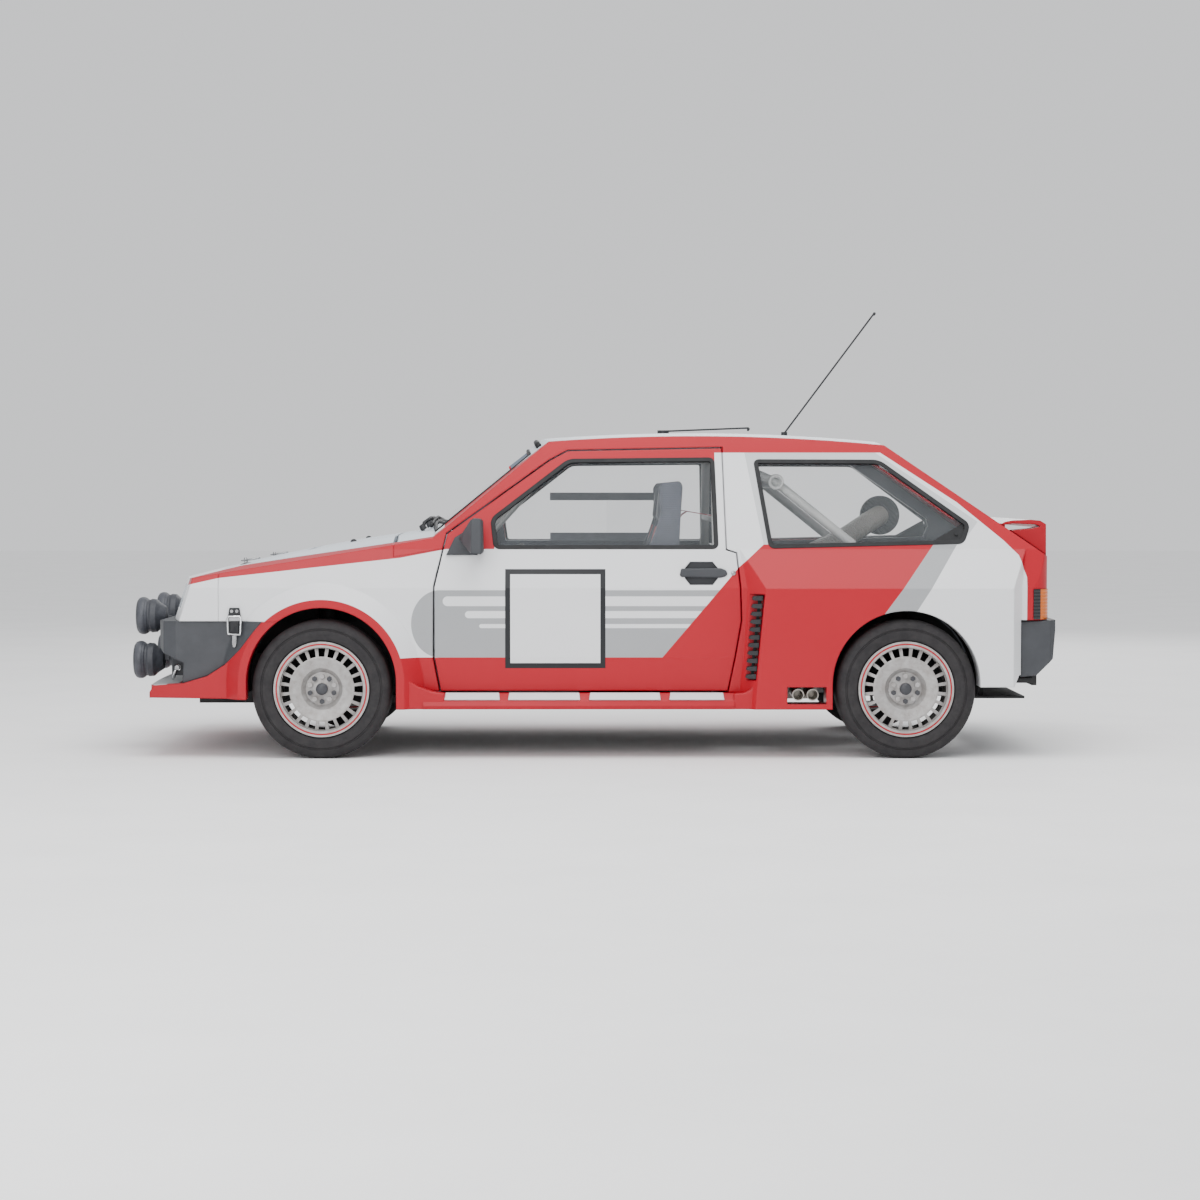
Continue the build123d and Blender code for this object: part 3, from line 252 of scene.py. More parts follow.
both_sides = ((-1, "left"), (1, "right"))
for end, axle_x, centre_z, radius, wall_half, foot_z in (
    # end, axle station, arch centre height, liner radius, half width at the inner wall, lowest edge
    ("front", -1230, 321, 341, 372, 236),
    ("rear", 1230, 312, 314, 506, 240),
):
    for side, name in both_sides:
        shape = bmesh.new()
        lip_half, bead_half, skirt = 742, 560, 60
        section = ((wall_half, 0), (bead_half - 14, 0), (bead_half - 6, 8), (bead_half + 6, 8),
                   (bead_half + 14, 0), (lip_half, 0))
        rail = [shape.verts.new(at(axle_x + radius + swell, side * half, centre_z - skirt))
                for half, swell in section]
        edges = [shape.edges.new(pair) for pair in zip(rail, rail[1:])]
        start = math.atan2(skirt, radius)
        bmesh.ops.spin(shape, geom=rail + edges, cent=at(axle_x, 0, centre_z), axis=(0, -1, 0),
                       angle=math.pi + 2 * start, steps=40)
        bmesh.ops.recalc_face_normals(shape, faces=shape.faces)
        bmesh.ops.solidify(shape, geom=list(shape.faces), thickness=0.0015)
        turns = [math.radians(-30 + 12 * step) for step in range(21)]
        rim = [(axle_x + radius * math.cos(turn), centre_z + radius * math.sin(turn)) for turn in turns]
        wall = [at(x, side * wall_half, max(foot_z, z)) for x, z in rim]
        plate(shape, wall, Vector((0, side * 0.0015, 0)), 0.0)
        shade(shape, 40)
        piece_of("arch_liner_" + end + "_" + name, shape, chassis_paint, "chassis")

# Wheels: cast alloy discs in chipped silver lacquer with a red pinstripe on the flange, and
# near-slick tarmac tyres, black rubber moulded with a ring rib on the wall and three ring grooves.
rubber_finish = grained("tyre_rubber", ("#201E20", "#2B292A"), 0.05, 0.011, (0.55, 0.85), 0.001,
                        specular_ior_level=0.35)

cap_finish = grained("hub_cap_plastic", ("#303135", "#3A3B40"), 0.02, 0.004, (0.38, 0.55), 0.0004)

bolt_finish = grained("zinc_plated_steel", ("#8E8F91", "#B4B4B5"), 0.012, 0.0055, (0.18, 0.4), 0.0002,
                      metallic=1.0)


def turned(profile, centre, axis, steps):
    """Spins a (radius, along the axis) profile about an axis through a centre."""
    shape = bmesh.new()
    axis = Vector(axis)
    out = Vector((0, 0, 1)) if abs(axis.z) < 0.9 else Vector((1, 0, 0))
    rail = [shape.verts.new(centre + axis * along + out * radius) for radius, along in profile]
    edges = [shape.edges.new(pair) for pair in zip(rail, rail[1:])]
    bmesh.ops.spin(shape, geom=rail + edges, cent=centre, axis=axis, angle=2 * math.pi, steps=steps,
                   use_merge=True)
    bmesh.ops.remove_doubles(shape, verts=shape.verts, dist=1e-5)
    bmesh.ops.recalc_face_normals(shape, faces=shape.faces)
    shade(shape, 35)
    return shape


def bolt_head(shape, spot, facing, radius, height, sides=6):
    """Adds a bolt head with an eased rim, standing on a spot."""
    stand = Matrix.Translation(spot) @ Vector(facing).to_track_quat("Z", "Y").to_matrix().to_4x4()
    stand = stand @ Matrix.Translation((0, 0, height / 2))
    head = bmesh.ops.create_cone(shape, cap_ends=True, segments=sides, radius1=radius, radius2=radius,
                                 depth=height, matrix=stand)
    rims = {edge for vert in head["verts"] for edge in vert.link_edges}
    bmesh.ops.bevel(shape, geom=list(rims), offset=min(radius, height) * 0.15, affect="EDGES", segments=2,
                    profile=0.5, material=-1)


tyre_radius = (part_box("tyre_front_left")[1].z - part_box("tyre_front_left")[0].z) / 2
groove_count, groove_width, groove_depth, rib_half = 3, 0.009, 0.005, 0.076
wall_profile = [(0.1865, 0.085), (0.2045, 0.0905), (0.2075, 0.0965), (0.2160, 0.0995), (0.2300, 0.1022),
                (0.2470, 0.1025), (0.2490, 0.0980), (0.2550, 0.0977), (0.2570, 0.1020), (0.2630, 0.1010),
                (0.2740, 0.0970), (0.2830, 0.0915), (0.2890, 0.0845)]
tread_profile = [(tyre_radius, rib_half)]
for number in range(groove_count):
    middle = rib_half - (number + 1) * 2 * rib_half / (groove_count + 1)
    low = tyre_radius - groove_depth
    tread_profile += [(tyre_radius, middle + groove_width / 2), (low, middle + groove_width / 2 - 0.002),
                      (low, middle - groove_width / 2 + 0.002), (tyre_radius, middle - groove_width / 2)]
tread_profile.append((tyre_radius, -rib_half))
tyre_profile = wall_profile + tread_profile + [(r, -y) for r, y in reversed(wall_profile)]
tyre_profile.append(tyre_profile[0])

silver, blush = "#ABA9A8", "#938F8C"
for corner in ("front_left", "front_right", "rear_left", "rear_right"):
    low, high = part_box("tyre_" + corner)
    centre = (low + high) / 2
    outward = -1 if centre.y < 0 else 1
    body = "wheel_" + corner
    tyre = turned(tyre_profile, centre, (0, 1, 0), 96)
    piece_of("tread_" + corner, tyre, rubber_finish, body, ("tyre_" + corner,))

    rim_finish, tree, shader, place = new_finish("silver_lacquer_" + corner, metallic=0.3)
    local = add(tree, "Mapping", {"Vector": place, "Location": -centre}).outputs["Vector"]
    flat = add(tree, "VectorMath", {0: local, 1: (1, 0, 1)}, operation="MULTIPLY").outputs["Vector"]
    radius = add(tree, "VectorMath", {0: flat}, operation="LENGTH").outputs["Value"]
    worn = mottled(tree, place, (blush, silver), 0.035)
    ring = add(tree, "Math", {0: radius, 1: 0.1895, 2: 0.0034}, operation="COMPARE").outputs[0]
    lipped = add(tree, "Mix", {0: ring, 6: worn, 7: linear("#A01420")}, data_type="RGBA").outputs[2]
    grime = add(tree, "TexNoise", {"Vector": place, "Scale": 45.0, "Detail": 7.0,
                                   "Roughness": 0.7}).outputs["Fac"]
    stain = add(tree, "MapRange", {"Value": grime, "From Min": 0.56, "From Max": 0.72,
                                   "To Max": 0.45}).outputs["Result"]
    aged = add(tree, "Mix", {0: stain, 6: lipped, 7: linear("#736F6B")}, data_type="RGBA").outputs[2]
    tree.links.new(aged, shader.inputs["Base Color"])
    tree.links.new(spread(tree, grime, 0.35, 0.6), shader.inputs["Roughness"])
    dress(rim_finish, "rim_" + corner)

    face = 0.0825
    dome = [(0.0, face + 0.007), (0.010, face + 0.0062), (0.020, face + 0.003), (0.0250, face - 0.003),
            (0.0250, face - 0.012)]
    piece_of("hub_cap_" + corner, turned(dome, centre, (0, outward, 0), 40), cap_finish, body)
    bolts = bmesh.new()
    for number in range(5):
        turn = math.radians(-90 + 72 * number)
        spot = centre + Vector((0.053 * math.cos(turn), outward * 0.062, 0.053 * math.sin(turn)))
        bolt_head(bolts, spot, (0, outward, 0), 0.0115, 0.013)
    piece_of("wheel_bolts_" + corner, bolts, cap_finish, body)

# Body panels: pressed steel in two-pack enamel. White ground, red waist band, lower body and rear
# haunch, grey flank panel with three white stripes, and a blank white number board on each door.
WHITE, RED, GREY, PALE, INNER, DARK = "#DEDFE1", "#A90C20", "#999B9D", "#BFC1C3", "#565A62", "#1B1C1F"


def side_of(tree, place, a, b):
    """1 on the right of the line from a to b in the side view, in millimetres from the mid wheelbase."""
    along = Vector((b[0] - a[0], 0.0, b[1] - a[1])).normalized()
    across = Vector((along.z, 0.0, -along.x))
    blur = 0.0012
    reach = add(tree, "VectorMath", {0: place, 1: across}, operation="DOT_PRODUCT").outputs["Value"]
    offset = -(a[0] * across.x + a[1] * across.z) / 1000
    return add(tree, "Math", {0: reach, 1: 1 / blur, 2: offset / blur + 0.5}, operation="MULTIPLY_ADD",
               use_clamp=True).outputs[0]


def combine(tree, operation, masks):
    """Joins masks: MINIMUM keeps what all hold, MAXIMUM what any holds."""
    total = masks[0]
    for mask in masks[1:]:
        total = add(tree, "Math", {0: total, 1: mask}, operation=operation).outputs[0]
    return total


def within(tree, place, x0, x1, z0, z1):
    """1 inside an upright rectangle of the side view."""
    return combine(tree, "MINIMUM", [side_of(tree, place, (x0, 0), (x0, 1)),
                                     side_of(tree, place, (x1, 1), (x1, 0)),
                                     side_of(tree, place, (1, z0), (0, z0)),
                                     side_of(tree, place, (0, z1), (1, z1))])


def inside_round(tree, place, x, z, radius, wide=1.0):
    """1 inside a circle, or an ellipse that is wide times as long."""
    moved = add(tree, "VectorMath", {0: place, 1: (x / 1000, 0, z / 1000)},
                operation="SUBTRACT").outputs["Vector"]
    flat = add(tree, "VectorMath", {0: moved, 1: (1 / wide, 0, 1)}, operation="MULTIPLY").outputs["Vector"]
    far = add(tree, "VectorMath", {0: flat}, operation="LENGTH").outputs["Value"]
    return add(tree, "Math", {0: far, 1: -800.0, 2: 0.8 * radius + 0.5}, operation="MULTIPLY_ADD",
               use_clamp=True).outputs[0]


def inside_outline(tree, place, corners):
    """1 inside a convex outline, given clockwise in the side view."""
    edges = zip(corners, corners[1:] + corners[:1])
    return combine(tree, "MINIMUM", [side_of(tree, place, a, b) for a, b in edges])


def over(tree, below, mask, colour):
    """Lays a colour over what is below, where the mask is 1."""
    return add(tree, "Mix", {0: mask, 6: below, 7: linear(colour)}, data_type="RGBA").outputs[2]


def enamel(tree, shader, place, colour):
    """Sprayed enamel: faint orange peel, soft rounded panel edges and a thin clear coat."""
    haze = add(tree, "TexNoise", {"Vector": place, "Scale": 3.0, "Detail": 5.0}).outputs["Fac"]
    tinted = add(tree, "HueSaturation", {"Color": colour,
                                         "Value": spread(tree, haze, 0.96, 1.03)}).outputs["Color"]
    tree.links.new(tinted, shader.inputs["Base Color"])
    tree.links.new(spread(tree, haze, 0.34, 0.46), shader.inputs["Roughness"])
    edge = add(tree, "Bevel", {"Radius": 0.008}, samples=4).outputs["Normal"]
    peel = add(tree, "TexNoise", {"Vector": place, "Scale": 350.0, "Detail": 2.0}).outputs["Fac"]
    bump = add(tree, "Bump", {"Height": peel, "Strength": 0.04, "Distance": 0.001, "Normal": edge})
    tree.links.new(bump.outputs["Normal"], shader.inputs["Normal"])
    shader.inputs["Coat Weight"].default_value = 0.08
    shader.inputs["Coat Roughness"].default_value = 0.12
    shader.inputs["Specular IOR Level"].default_value = 0.28


livery, tree, shader, place = new_finish("two_pack_enamel_livery")
local = add(tree, "Mapping", {"Vector": place, "Location": (-mid_x, 0, 0)}).outputs["Vector"]
parts = add(tree, "SeparateXYZ", {"Vector": place})
half = add(tree, "Math", {0: parts.outputs["Y"]}, operation="ABSOLUTE").outputs[0]

flank_nose = combine(tree, "MAXIMUM", [side_of(tree, local, (-735, 0), (-735, 1)),
                                       inside_round(tree, local, -735, 566, 142, 0.85)])
flank = combine(tree, "MINIMUM", [flank_nose, within(tree, local, -900, 700, 424, 708)])
colour = over(tree, linear(WHITE), flank, GREY)
for start, low, high in ((-722, 641, 682), (-628, 590, 620), (-568, 548, 565)):
    reach = (high - low) / 2
    bar = combine(tree, "MAXIMUM", [within(tree, local, start + reach, 700, low, high),
                                    inside_round(tree, local, start + reach, (low + high) / 2, reach)])
    colour = over(tree, colour, bar, WHITE)
lower = within(tree, local, -1000, 600, 0, 424)
lip = combine(tree, "MINIMUM", [inside_round(tree, local, -1230, 321, 349),
                                within(tree, local, -1700, -700, 0, 900)])
haunch_front = combine(tree, "MAXIMUM", [side_of(tree, local, (210, 429), (527, 802)),
                                         within(tree, local, 500, 1900, 0, 429)])
haunch_rear = combine(tree, "MAXIMUM", [side_of(tree, local, (1353, 899), (1143, 617)),
                                        within(tree, local, 500, 1143, 0, 618)])
haunch = combine(tree, "MINIMUM", [haunch_front, side_of(tree, local, (527, 802), (642, 907)),
                                   within(tree, local, 150, 1900, 0, 905), haunch_rear])
colour = over(tree, colour, combine(tree, "MAXIMUM", [lower, lip, haunch]), RED)
slash = combine(tree, "MINIMUM", [side_of(tree, local, (1143, 617), (1353, 899)),
                                  side_of(tree, local, (1456, 904), (1274, 623)),
                                  within(tree, local, 1000, 1600, 560, 903)])
colour = over(tree, colour, slash, GREY)
border = combine(tree, "MINIMUM", [
    side_of(tree, local, (640, 870), (560, 1290)), within(tree, local, 500, 1560, 900, 1290),
    side_of(tree, local, (1120, 1290), (1545, 996)), side_of(tree, local, (1545, 996), (1456, 880))])
colour = over(tree, colour, border, PALE)
wing_edge = combine(tree, "MINIMUM", [side_of(tree, local, (-902, 844), (-1669, 759)),
                                      side_of(tree, local, (-708, 881), (-902, 844))])
band = combine(tree, "MAXIMUM", [side_of(tree, local, (-1669, 759), (-1812, 727)), wing_edge])
outboard = add(tree, "Math", {0: half, 1: 0.700}, operation="GREATER_THAN").outputs[0]
band = combine(tree, "MINIMUM", [band, within(tree, local, -2200, -690, 600, 1000), outboard])
hatch_edge = combine(tree, "MAXIMUM", [
    side_of(tree, local, (1460, 1078), (1146, 1287)), side_of(tree, local, (1651, 917), (1460, 1078)),
    side_of(tree, local, (1711, 856), (1651, 917)), side_of(tree, local, (1744, 766), (1711, 856)),
    side_of(tree, local, (1745, 500), (1745, 766))])
frame_red = combine(tree, "MAXIMUM", [
    within(tree, local, -720, -505, 881, 1600), within(tree, local, -720, 432, 902, 1600),
    within(tree, local, -1000, 1900, 1290, 1600),
    combine(tree, "MINIMUM", [within(tree, local, 600, 2000, 540, 1600), hatch_edge])])
colour = over(tree, colour, combine(tree, "MAXIMUM", [band, frame_red]), RED)
colour = over(tree, colour, within(tree, local, -459, -35, 378, 797), DARK)
colour = over(tree, colour, within(tree, local, -437, -57, 400, 775), WHITE)
dish = inside_outline(tree, local, [(300, 758), (300, 800), (322, 827), (418, 827), (440, 800), (440, 758),
                                    (418, 730), (322, 730)])
colour = over(tree, colour, dish, "#3A3B3F")
facing = add(tree, "SeparateXYZ", {"Vector": add(tree, "TexCoord").outputs["Normal"]}).outputs["Y"]
inward = add(tree, "Math", {0: facing, 1: parts.outputs["Y"]}, operation="MULTIPLY").outputs[0]
lining = add(tree, "Math", {0: inward, 1: -0.2}, operation="LESS_THAN").outputs[0]
colour = over(tree, colour, lining, INNER)
enamel(tree, shader, place, colour)



def sprayed(name, tones, top=None, below=None):
    """Enamel in two close tones; faces that look up, or only those of them below a height, may take a top
    colour.
    """
    material, tree, shader, place = new_finish(name)
    colour = mottled(tree, place, tones, 0.4)
    if top:
        upward = add(tree, "SeparateXYZ", {"Vector": add(tree, "TexCoord").outputs["Normal"]}).outputs["Z"]
        level = add(tree, "Math", {0: upward, 1: 0.6}, operation="GREATER_THAN").outputs[0]
        if below:
            height = add(tree, "SeparateXYZ", {"Vector": place}).outputs["Z"]
            low_down = add(tree, "Math", {0: height, 1: below}, operation="LESS_THAN").outputs[0]
            level = combine(tree, "MINIMUM", [level, low_down])
        colour = over(tree, colour, level, top)
    enamel(tree, shader, place, colour)
    return material


red_tones = (RED, "#A20B1E")
white_paint = sprayed("two_pack_enamel_white", (WHITE, "#D4D6DA"))
red_paint = sprayed("two_pack_enamel_red", red_tones)
blade_paint = sprayed("two_pack_enamel_white_over_red", red_tones, WHITE)
top_paint = sprayed("two_pack_enamel_cool_white", ("#CDD4DA", "#C6CED5"))
splitter_paint = sprayed("two_pack_enamel_red_with_pale_splitter", red_tones, PALE, 0.310)
dress(livery, "wing_left", "wing_right", "door_left", "door_right", "side_left", "side_right", "nose_panel")
dress(top_paint, "bonnet", "roof_panel", "scuttle")
dress(red_paint, "tailgate", "sills")
dress(splitter_paint, "front_skirt")
dress(blade_paint, "spoiler")

# Sill inserts: four white plastic strips let into each sill moulding, pressed on with their edges
# rounded over.
sill_inserts = ((-713, -480), (-445, -142), (-104, 197), (234, 465))
for side, name in both_sides:
    shape = bmesh.new()
    for x0, x1 in sill_inserts:
        foot, head = (side * 848.5, 246), (side * 815.5, 272.5)
        corners = [at(x0, *foot), at(x1, *foot), at(x1 - 4, *head), at(x0 + 4, *head)]
        plate(shape, corners, Vector((0, side * 0.0038, 0.0046)), 0.0018)
    piece_of("sill_inserts_" + name, shape, white_paint, "chassis")

# Sill fairings: red mouldings that lead from the front arch into each sill and from the sill up to
# the rear arch, screwed to the lower body.
front_lead = [(-905, 208), (-905, 373), (-870, 333), (-820, 303), (-762, 283), (-712, 276), (-712, 208)]
rear_lead = [(505, 208), (505, 274), (545, 276), (575, 292), (592, 322), (600, 322), (600, 208)]
for side, name in both_sides:
    shape = bmesh.new()
    for outline in (front_lead, rear_lead):
        plate(shape, [at(x, side * 800, z) for x, z in outline], Vector((0, side * 0.050, 0)), 0.006)
    piece_of("sill_fairings_" + name, shape, red_paint, "chassis")

# Glass: clear laminated and polycarbonate panes with a faint film of dust, so that the far side
# of the car shows through both windows. A grey-blue sun strip is printed across the screen's head.
glass_finish, tree, shader, place = new_finish("clear_pane", base_color=linear("#E6EEF2"), roughness=0.05)
film = add(tree, "TexNoise", {"Vector": place, "Scale": 6.0, "Detail": 6.0}).outputs["Fac"]
tree.links.new(spread(tree, film, 0.02, 0.05), shader.inputs["Alpha"])
dress(glass_finish, "tailgate_glass", "quarter_glass", "door_glass_left", "door_glass_right")

screen_foot, screen_head = Vector((-819, 0, 965)), Vector((-338, 0, 1337))
up_screen = (screen_head - screen_foot).normalized()
screen_glass, tree, shader, place = new_finish("laminated_screen_with_sun_strip")
local = add(tree, "Mapping", {"Vector": place, "Location": (-mid_x, 0, 0)}).outputs["Vector"]
square = Vector((-up_screen.z, 0, up_screen.x))


def up_from(reach):
    """1 above a level line across the screen, so far up it in millimetres."""
    foot = screen_foot + up_screen * reach
    return side_of(tree, local, *[(spot.x, spot.z) for spot in (foot - square, foot + square)])


strip = up_from(448)
film = add(tree, "TexNoise", {"Vector": place, "Scale": 6.0, "Detail": 6.0}).outputs["Fac"]
tree.links.new(combine(tree, "MAXIMUM", [strip, spread(tree, film, 0.02, 0.05)]), shader.inputs["Alpha"])
printed = over(tree, linear("#E6EEF2"), strip, RED)
printed = over(tree, printed, up_from(456), "#6C7480")
printed = over(tree, printed, up_from(548), RED)
tree.links.new(printed, shader.inputs["Base Color"])
tree.links.new(spread(tree, strip, 0.05, 0.6), shader.inputs["Roughness"])
tree.links.new(spread(tree, strip, 0.5, 0.0), shader.inputs["Specular IOR Level"])
dress(screen_glass, "windscreen")

# Window seals: extruded black rubber pushed into each opening, its lip lying on the pane, with
# rounded corners. Screen and tailgate have the round locking-strip kind.
seal_finish = grained("extruded_rubber", ("#141517", "#1E1F21"), 0.05, 0.006, (0.5, 0.7), 0.0005,
                      specular_ior_level=0.35)
belt_z, belt_half, rail_z, rail_half = 880, 768, 1325, 590
bow_half = 700


def on_flank(side, x, z, proud=0.0):
    """Point on the slanted cabin side, so far proud of its skin in millimetres."""
    lean = (belt_half - rail_half) / (rail_z - belt_z)
    slope = math.hypot(1, lean)
    return at(x, side * (belt_half - lean * (z - belt_z) + proud / slope), z + proud * lean / slope)


def seal_ring(outline, side, corner, width, deep, proud):
    """A flat rubber ring round an opening in the cabin side, from deep below the skin to proud of it."""
    shape = bmesh.new()
    shape.faces.new([shape.verts.new(on_flank(side, x, z, -deep)) for x, z in outline])
    bmesh.ops.bevel(shape, geom=list(shape.verts), offset=corner, affect="VERTICES", segments=5, profile=0.5,
                    material=-1)
    hole = list(shape.faces)
    bmesh.ops.inset_region(shape, faces=hole, thickness=width, use_even_offset=True, use_boundary=True)
    bmesh.ops.delete(shape, geom=hole, context="FACES")
    lift = on_flank(side, 0, 1000, proud) - on_flank(side, 0, 1000, -deep)
    grown = bmesh.ops.extrude_face_region(shape, geom=list(shape.faces), use_keep_orig=True)["geom"]
    bmesh.ops.translate(shape, verts=[v for v in grown if isinstance(v, bmesh.types.BMVert)], vec=lift)
    bmesh.ops.recalc_face_normals(shape, faces=shape.faces)
    sharp = [e for e in shape.edges if len(e.link_faces) == 2 and e.calc_face_angle() > math.radians(60)]
    bmesh.ops.bevel(shape, geom=sharp, offset=0.002, affect="EDGES", segments=2, profile=0.5, material=-1)
    return shape


def beading(points, radius, closed=False):
    """A round bead or tube along a chain of points."""
    curve = bpy.data.curves.new("bead", "CURVE")
    curve.dimensions = "3D"
    curve.bevel_depth = radius
    curve.bevel_resolution = 3
    curve.use_fill_caps = True
    line = curve.splines.new("POLY")
    line.points.add(len(points) - 1)
    for point, spot in zip(line.points, points):
        point.co = (*spot, 1.0)
    line.use_cyclic_u = closed
    held = bpy.data.objects.new("bead", curve)
    mesh = bpy.data.meshes.new_from_object(held)
    shape = bmesh.new()
    shape.from_mesh(mesh)
    bpy.data.objects.remove(held)
    bpy.data.curves.remove(curve)
    bpy.data.meshes.remove(mesh)
    bmesh.ops.remove_doubles(shape, verts=shape.verts, dist=1e-5)
    bmesh.ops.recalc_face_normals(shape, faces=shape.faces)
    for face in shape.faces:
        face.smooth = True
    return shape


door_rubber = [(-508, 880), (-524, 1010), (-194, 1264), (432, 1270), (444, 880)]
quarter_rubber = [(596, 1262), (1136, 1260), (1514, 986), (1484, 902), (656, 882)]
for side, name in both_sides:
    ring = seal_ring(door_rubber, side, 0.026, 0.019, 12.0, 2.8)
    piece_of("door_seal_" + name, ring, seal_finish, "door_" + name)
    ring = seal_ring(quarter_rubber, side, 0.026, 0.019, 12.0, 2.8)
    piece_of("quarter_seal_" + name, ring, seal_finish, "chassis")


def screen_bead(foot, along, bow, ends, halves, sink):
    """Closed bead path round a bowed screen; ends and halves are its extents along and across."""
    square = Vector((-along.z, 0, along.x))
    low = [(-1 + step / 4, ends[0]) for step in range(9)]
    high = [(1 - step / 4, ends[1]) for step in range(9)]
    path = []
    for share, reach in low + high:
        half = halves[0] if reach == ends[0] else halves[1]
        y = share * half
        spot = foot + along * reach - square * (sink + bow * (y / bow_half) ** 2)
        path.append(at(spot.x, y, spot.z))
    return path


hatch_head, hatch_foot = Vector((1149, 0, 1340)), Vector((1840, 0, 865))
screen_bow, hatch_bow = 55, 12
down_hatch = (hatch_foot - hatch_head).normalized()
screen_path = screen_bead(screen_foot, up_screen, screen_bow, (42, 558), (647, 528), 3)
hatch_path = screen_bead(hatch_head, down_hatch, hatch_bow, (107, 558), (453, 498), 3)
piece_of("screen_seal", beading(screen_path, 0.0095, True), seal_finish, "chassis")
piece_of("tailgate_seal", beading(hatch_path, 0.0090, True), seal_finish, "tailgate")

# Sliding vent in the right door window: two grey plastic channels bonded to the pane, with a small
# clear pane that runs between them. A bolted black gusset fills the rear corner of each quarter window.
channel_finish = grained("extruded_grey_channel", ("#5A5D66", "#676A73"), 0.04, 0.005, (0.4, 0.55), 0.0004)
shape = bmesh.new()
for z, tall in ((914, 46), (1109, 36)):
    corners = [on_flank(1, x, z + rise * tall / 2, -26)
               for x, rise in ((-290, -1), (256, -1), (256, 1), (-290, 1))]
    plate(shape, corners, on_flank(1, 0, z, -20.5) - on_flank(1, 0, z, -26), 0.002)
piece_of("vent_channels", shape, channel_finish, "door_right")
shape = bmesh.new()
corners = [on_flank(1, x, z, -24) for x, z in ((-22, 924), (256, 924), (256, 1103), (-22, 1103))]
plate(shape, corners, on_flank(1, 0, 1000, -21) - on_flank(1, 0, 1000, -24), 0.001)
piece_of("vent_pane", shape, glass_finish, "door_right")
for side, name in both_sides:
    shape = bmesh.new()
    corners = [on_flank(side, x, z, -13) for x, z in ((1330, 906), (1482, 992), (1488, 960), (1470, 912))]
    plate(shape, corners, on_flank(side, 0, 950, -7) - on_flank(side, 0, 950, -13), 0.002)
    bolt_head(shape, on_flank(side, 1452, 945, -7), on_flank(side, 0, 950, 1) - on_flank(side, 0, 950, 0),
              0.008, 0.006)
    piece_of("quarter_gusset_" + name, shape, seal_finish, "chassis")

# Bumpers, mirrors, louvres and lamp bodies: grained grey polypropylene, moulded in one colour and
# bolted on, a little faded by the sun.
plastic_finish = grained("grained_polypropylene", ("#35373B", "#3E4044"), 0.12, 0.0024, (0.45, 0.62), 0.0008,
                         edge=0.010, specular_ior_level=0.4)
dress(plastic_finish, "front_bumper", "rear_bumper", "mirror_left", "mirror_right")
black_finish = grained("black_moulding", ("#1C1D20", "#27282B"), 0.06, 0.0024, (0.42, 0.6), 0.0006,
                       edge=0.003, specular_ior_level=0.4)
dress(black_finish, "louvres", "aerials")

# Door handles and mirror glasses: a moulded flap that covers the pull in its dish with a key
# barrel behind it, and a silvered pane clipped into the rear of each mirror head.
silvered = grained("silvered_mirror_glass", ("#B8BEC4", "#C8CDD2"), 0.08, 0.01, (0.03, 0.08), 0.0001,
                   metallic=1.0)
for side, name in both_sides:
    shape = bmesh.new()
    flap_foot, flap_top = 782, 799
    outline = [(278, 772), (284, 763), (452, 760), (472, 766), (481, 776), (474, 792), (452, 801), (284, 799)]
    plate(shape, [at(x, side * flap_foot, z) for x, z in outline],
          Vector((0, side * (flap_top - flap_foot) / 1000, 0)), 0.005)
    piece_of("door_handle_" + name, shape, plastic_finish, "door_" + name)
    barrel = [(0.0, 0.004), (0.007, 0.004), (0.0095, 0.0025), (0.0105, 0.0), (0.0105, -0.006)]
    piece_of("door_lock_" + name, turned(barrel, at(505, side * 792, 780), (0, side, 0), 24), bolt_finish,
             "door_" + name)
    low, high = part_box("mirror_" + name)
    shape = bmesh.new()
    near, far = (low.y, high.y) if side > 0 else (high.y, low.y)
    inner, outer = near + side * 0.075, far - side * 0.024
    foot, head = low.z + 0.024, high.z - 0.016
    corners = [Vector((high.x - 0.0080, y, z))
               for y, z in ((inner, foot), (outer, foot), (outer, head), (inner, head))]
    plate(shape, corners, Vector((0.004, 0, 0)), 0.0015)
    piece_of("mirror_glass_" + name, shape, silvered, "door_" + name)

# Bonnet pins, washer jets, toggle latches and wipers: plated pins through steel cups on the bonnet,
# an over-centre latch that ties each wing to the bumper, black sprung arms under the screen and a
# rubber strip along its head.
bonnet_line, bonnet_crown = ((-1912, 739), (-1404, 860), (-932, 941)), 12


def bonnet_height(x, half):
    """Height of the crowned bonnet, from a parabola through three stations of its centre line."""
    total = 0.0
    for number, (here, height) in enumerate(bonnet_line):
        share = 1.0
        for other, (there, _) in enumerate(bonnet_line):
            if other != number:
                share *= (x - there) / (here - there)
        total += share * height
    return total - bonnet_crown * (half / bow_half) ** 2


chrome = grained("bright_chrome_plate", ("#C9CBCD", "#E2E3E4"), 0.015, 0.004, (0.08, 0.22), 0.0001,
                 metallic=1.0)


def latch_seat(x, z):
    """Half width of the flank under a latch, which swells towards the wheel into the cone of the flare."""
    from_axle = math.hypot(x + 1230, z - 321)
    return max(800 if z > 577 else 789, 785 + (430 - from_axle) * 85 / 80)


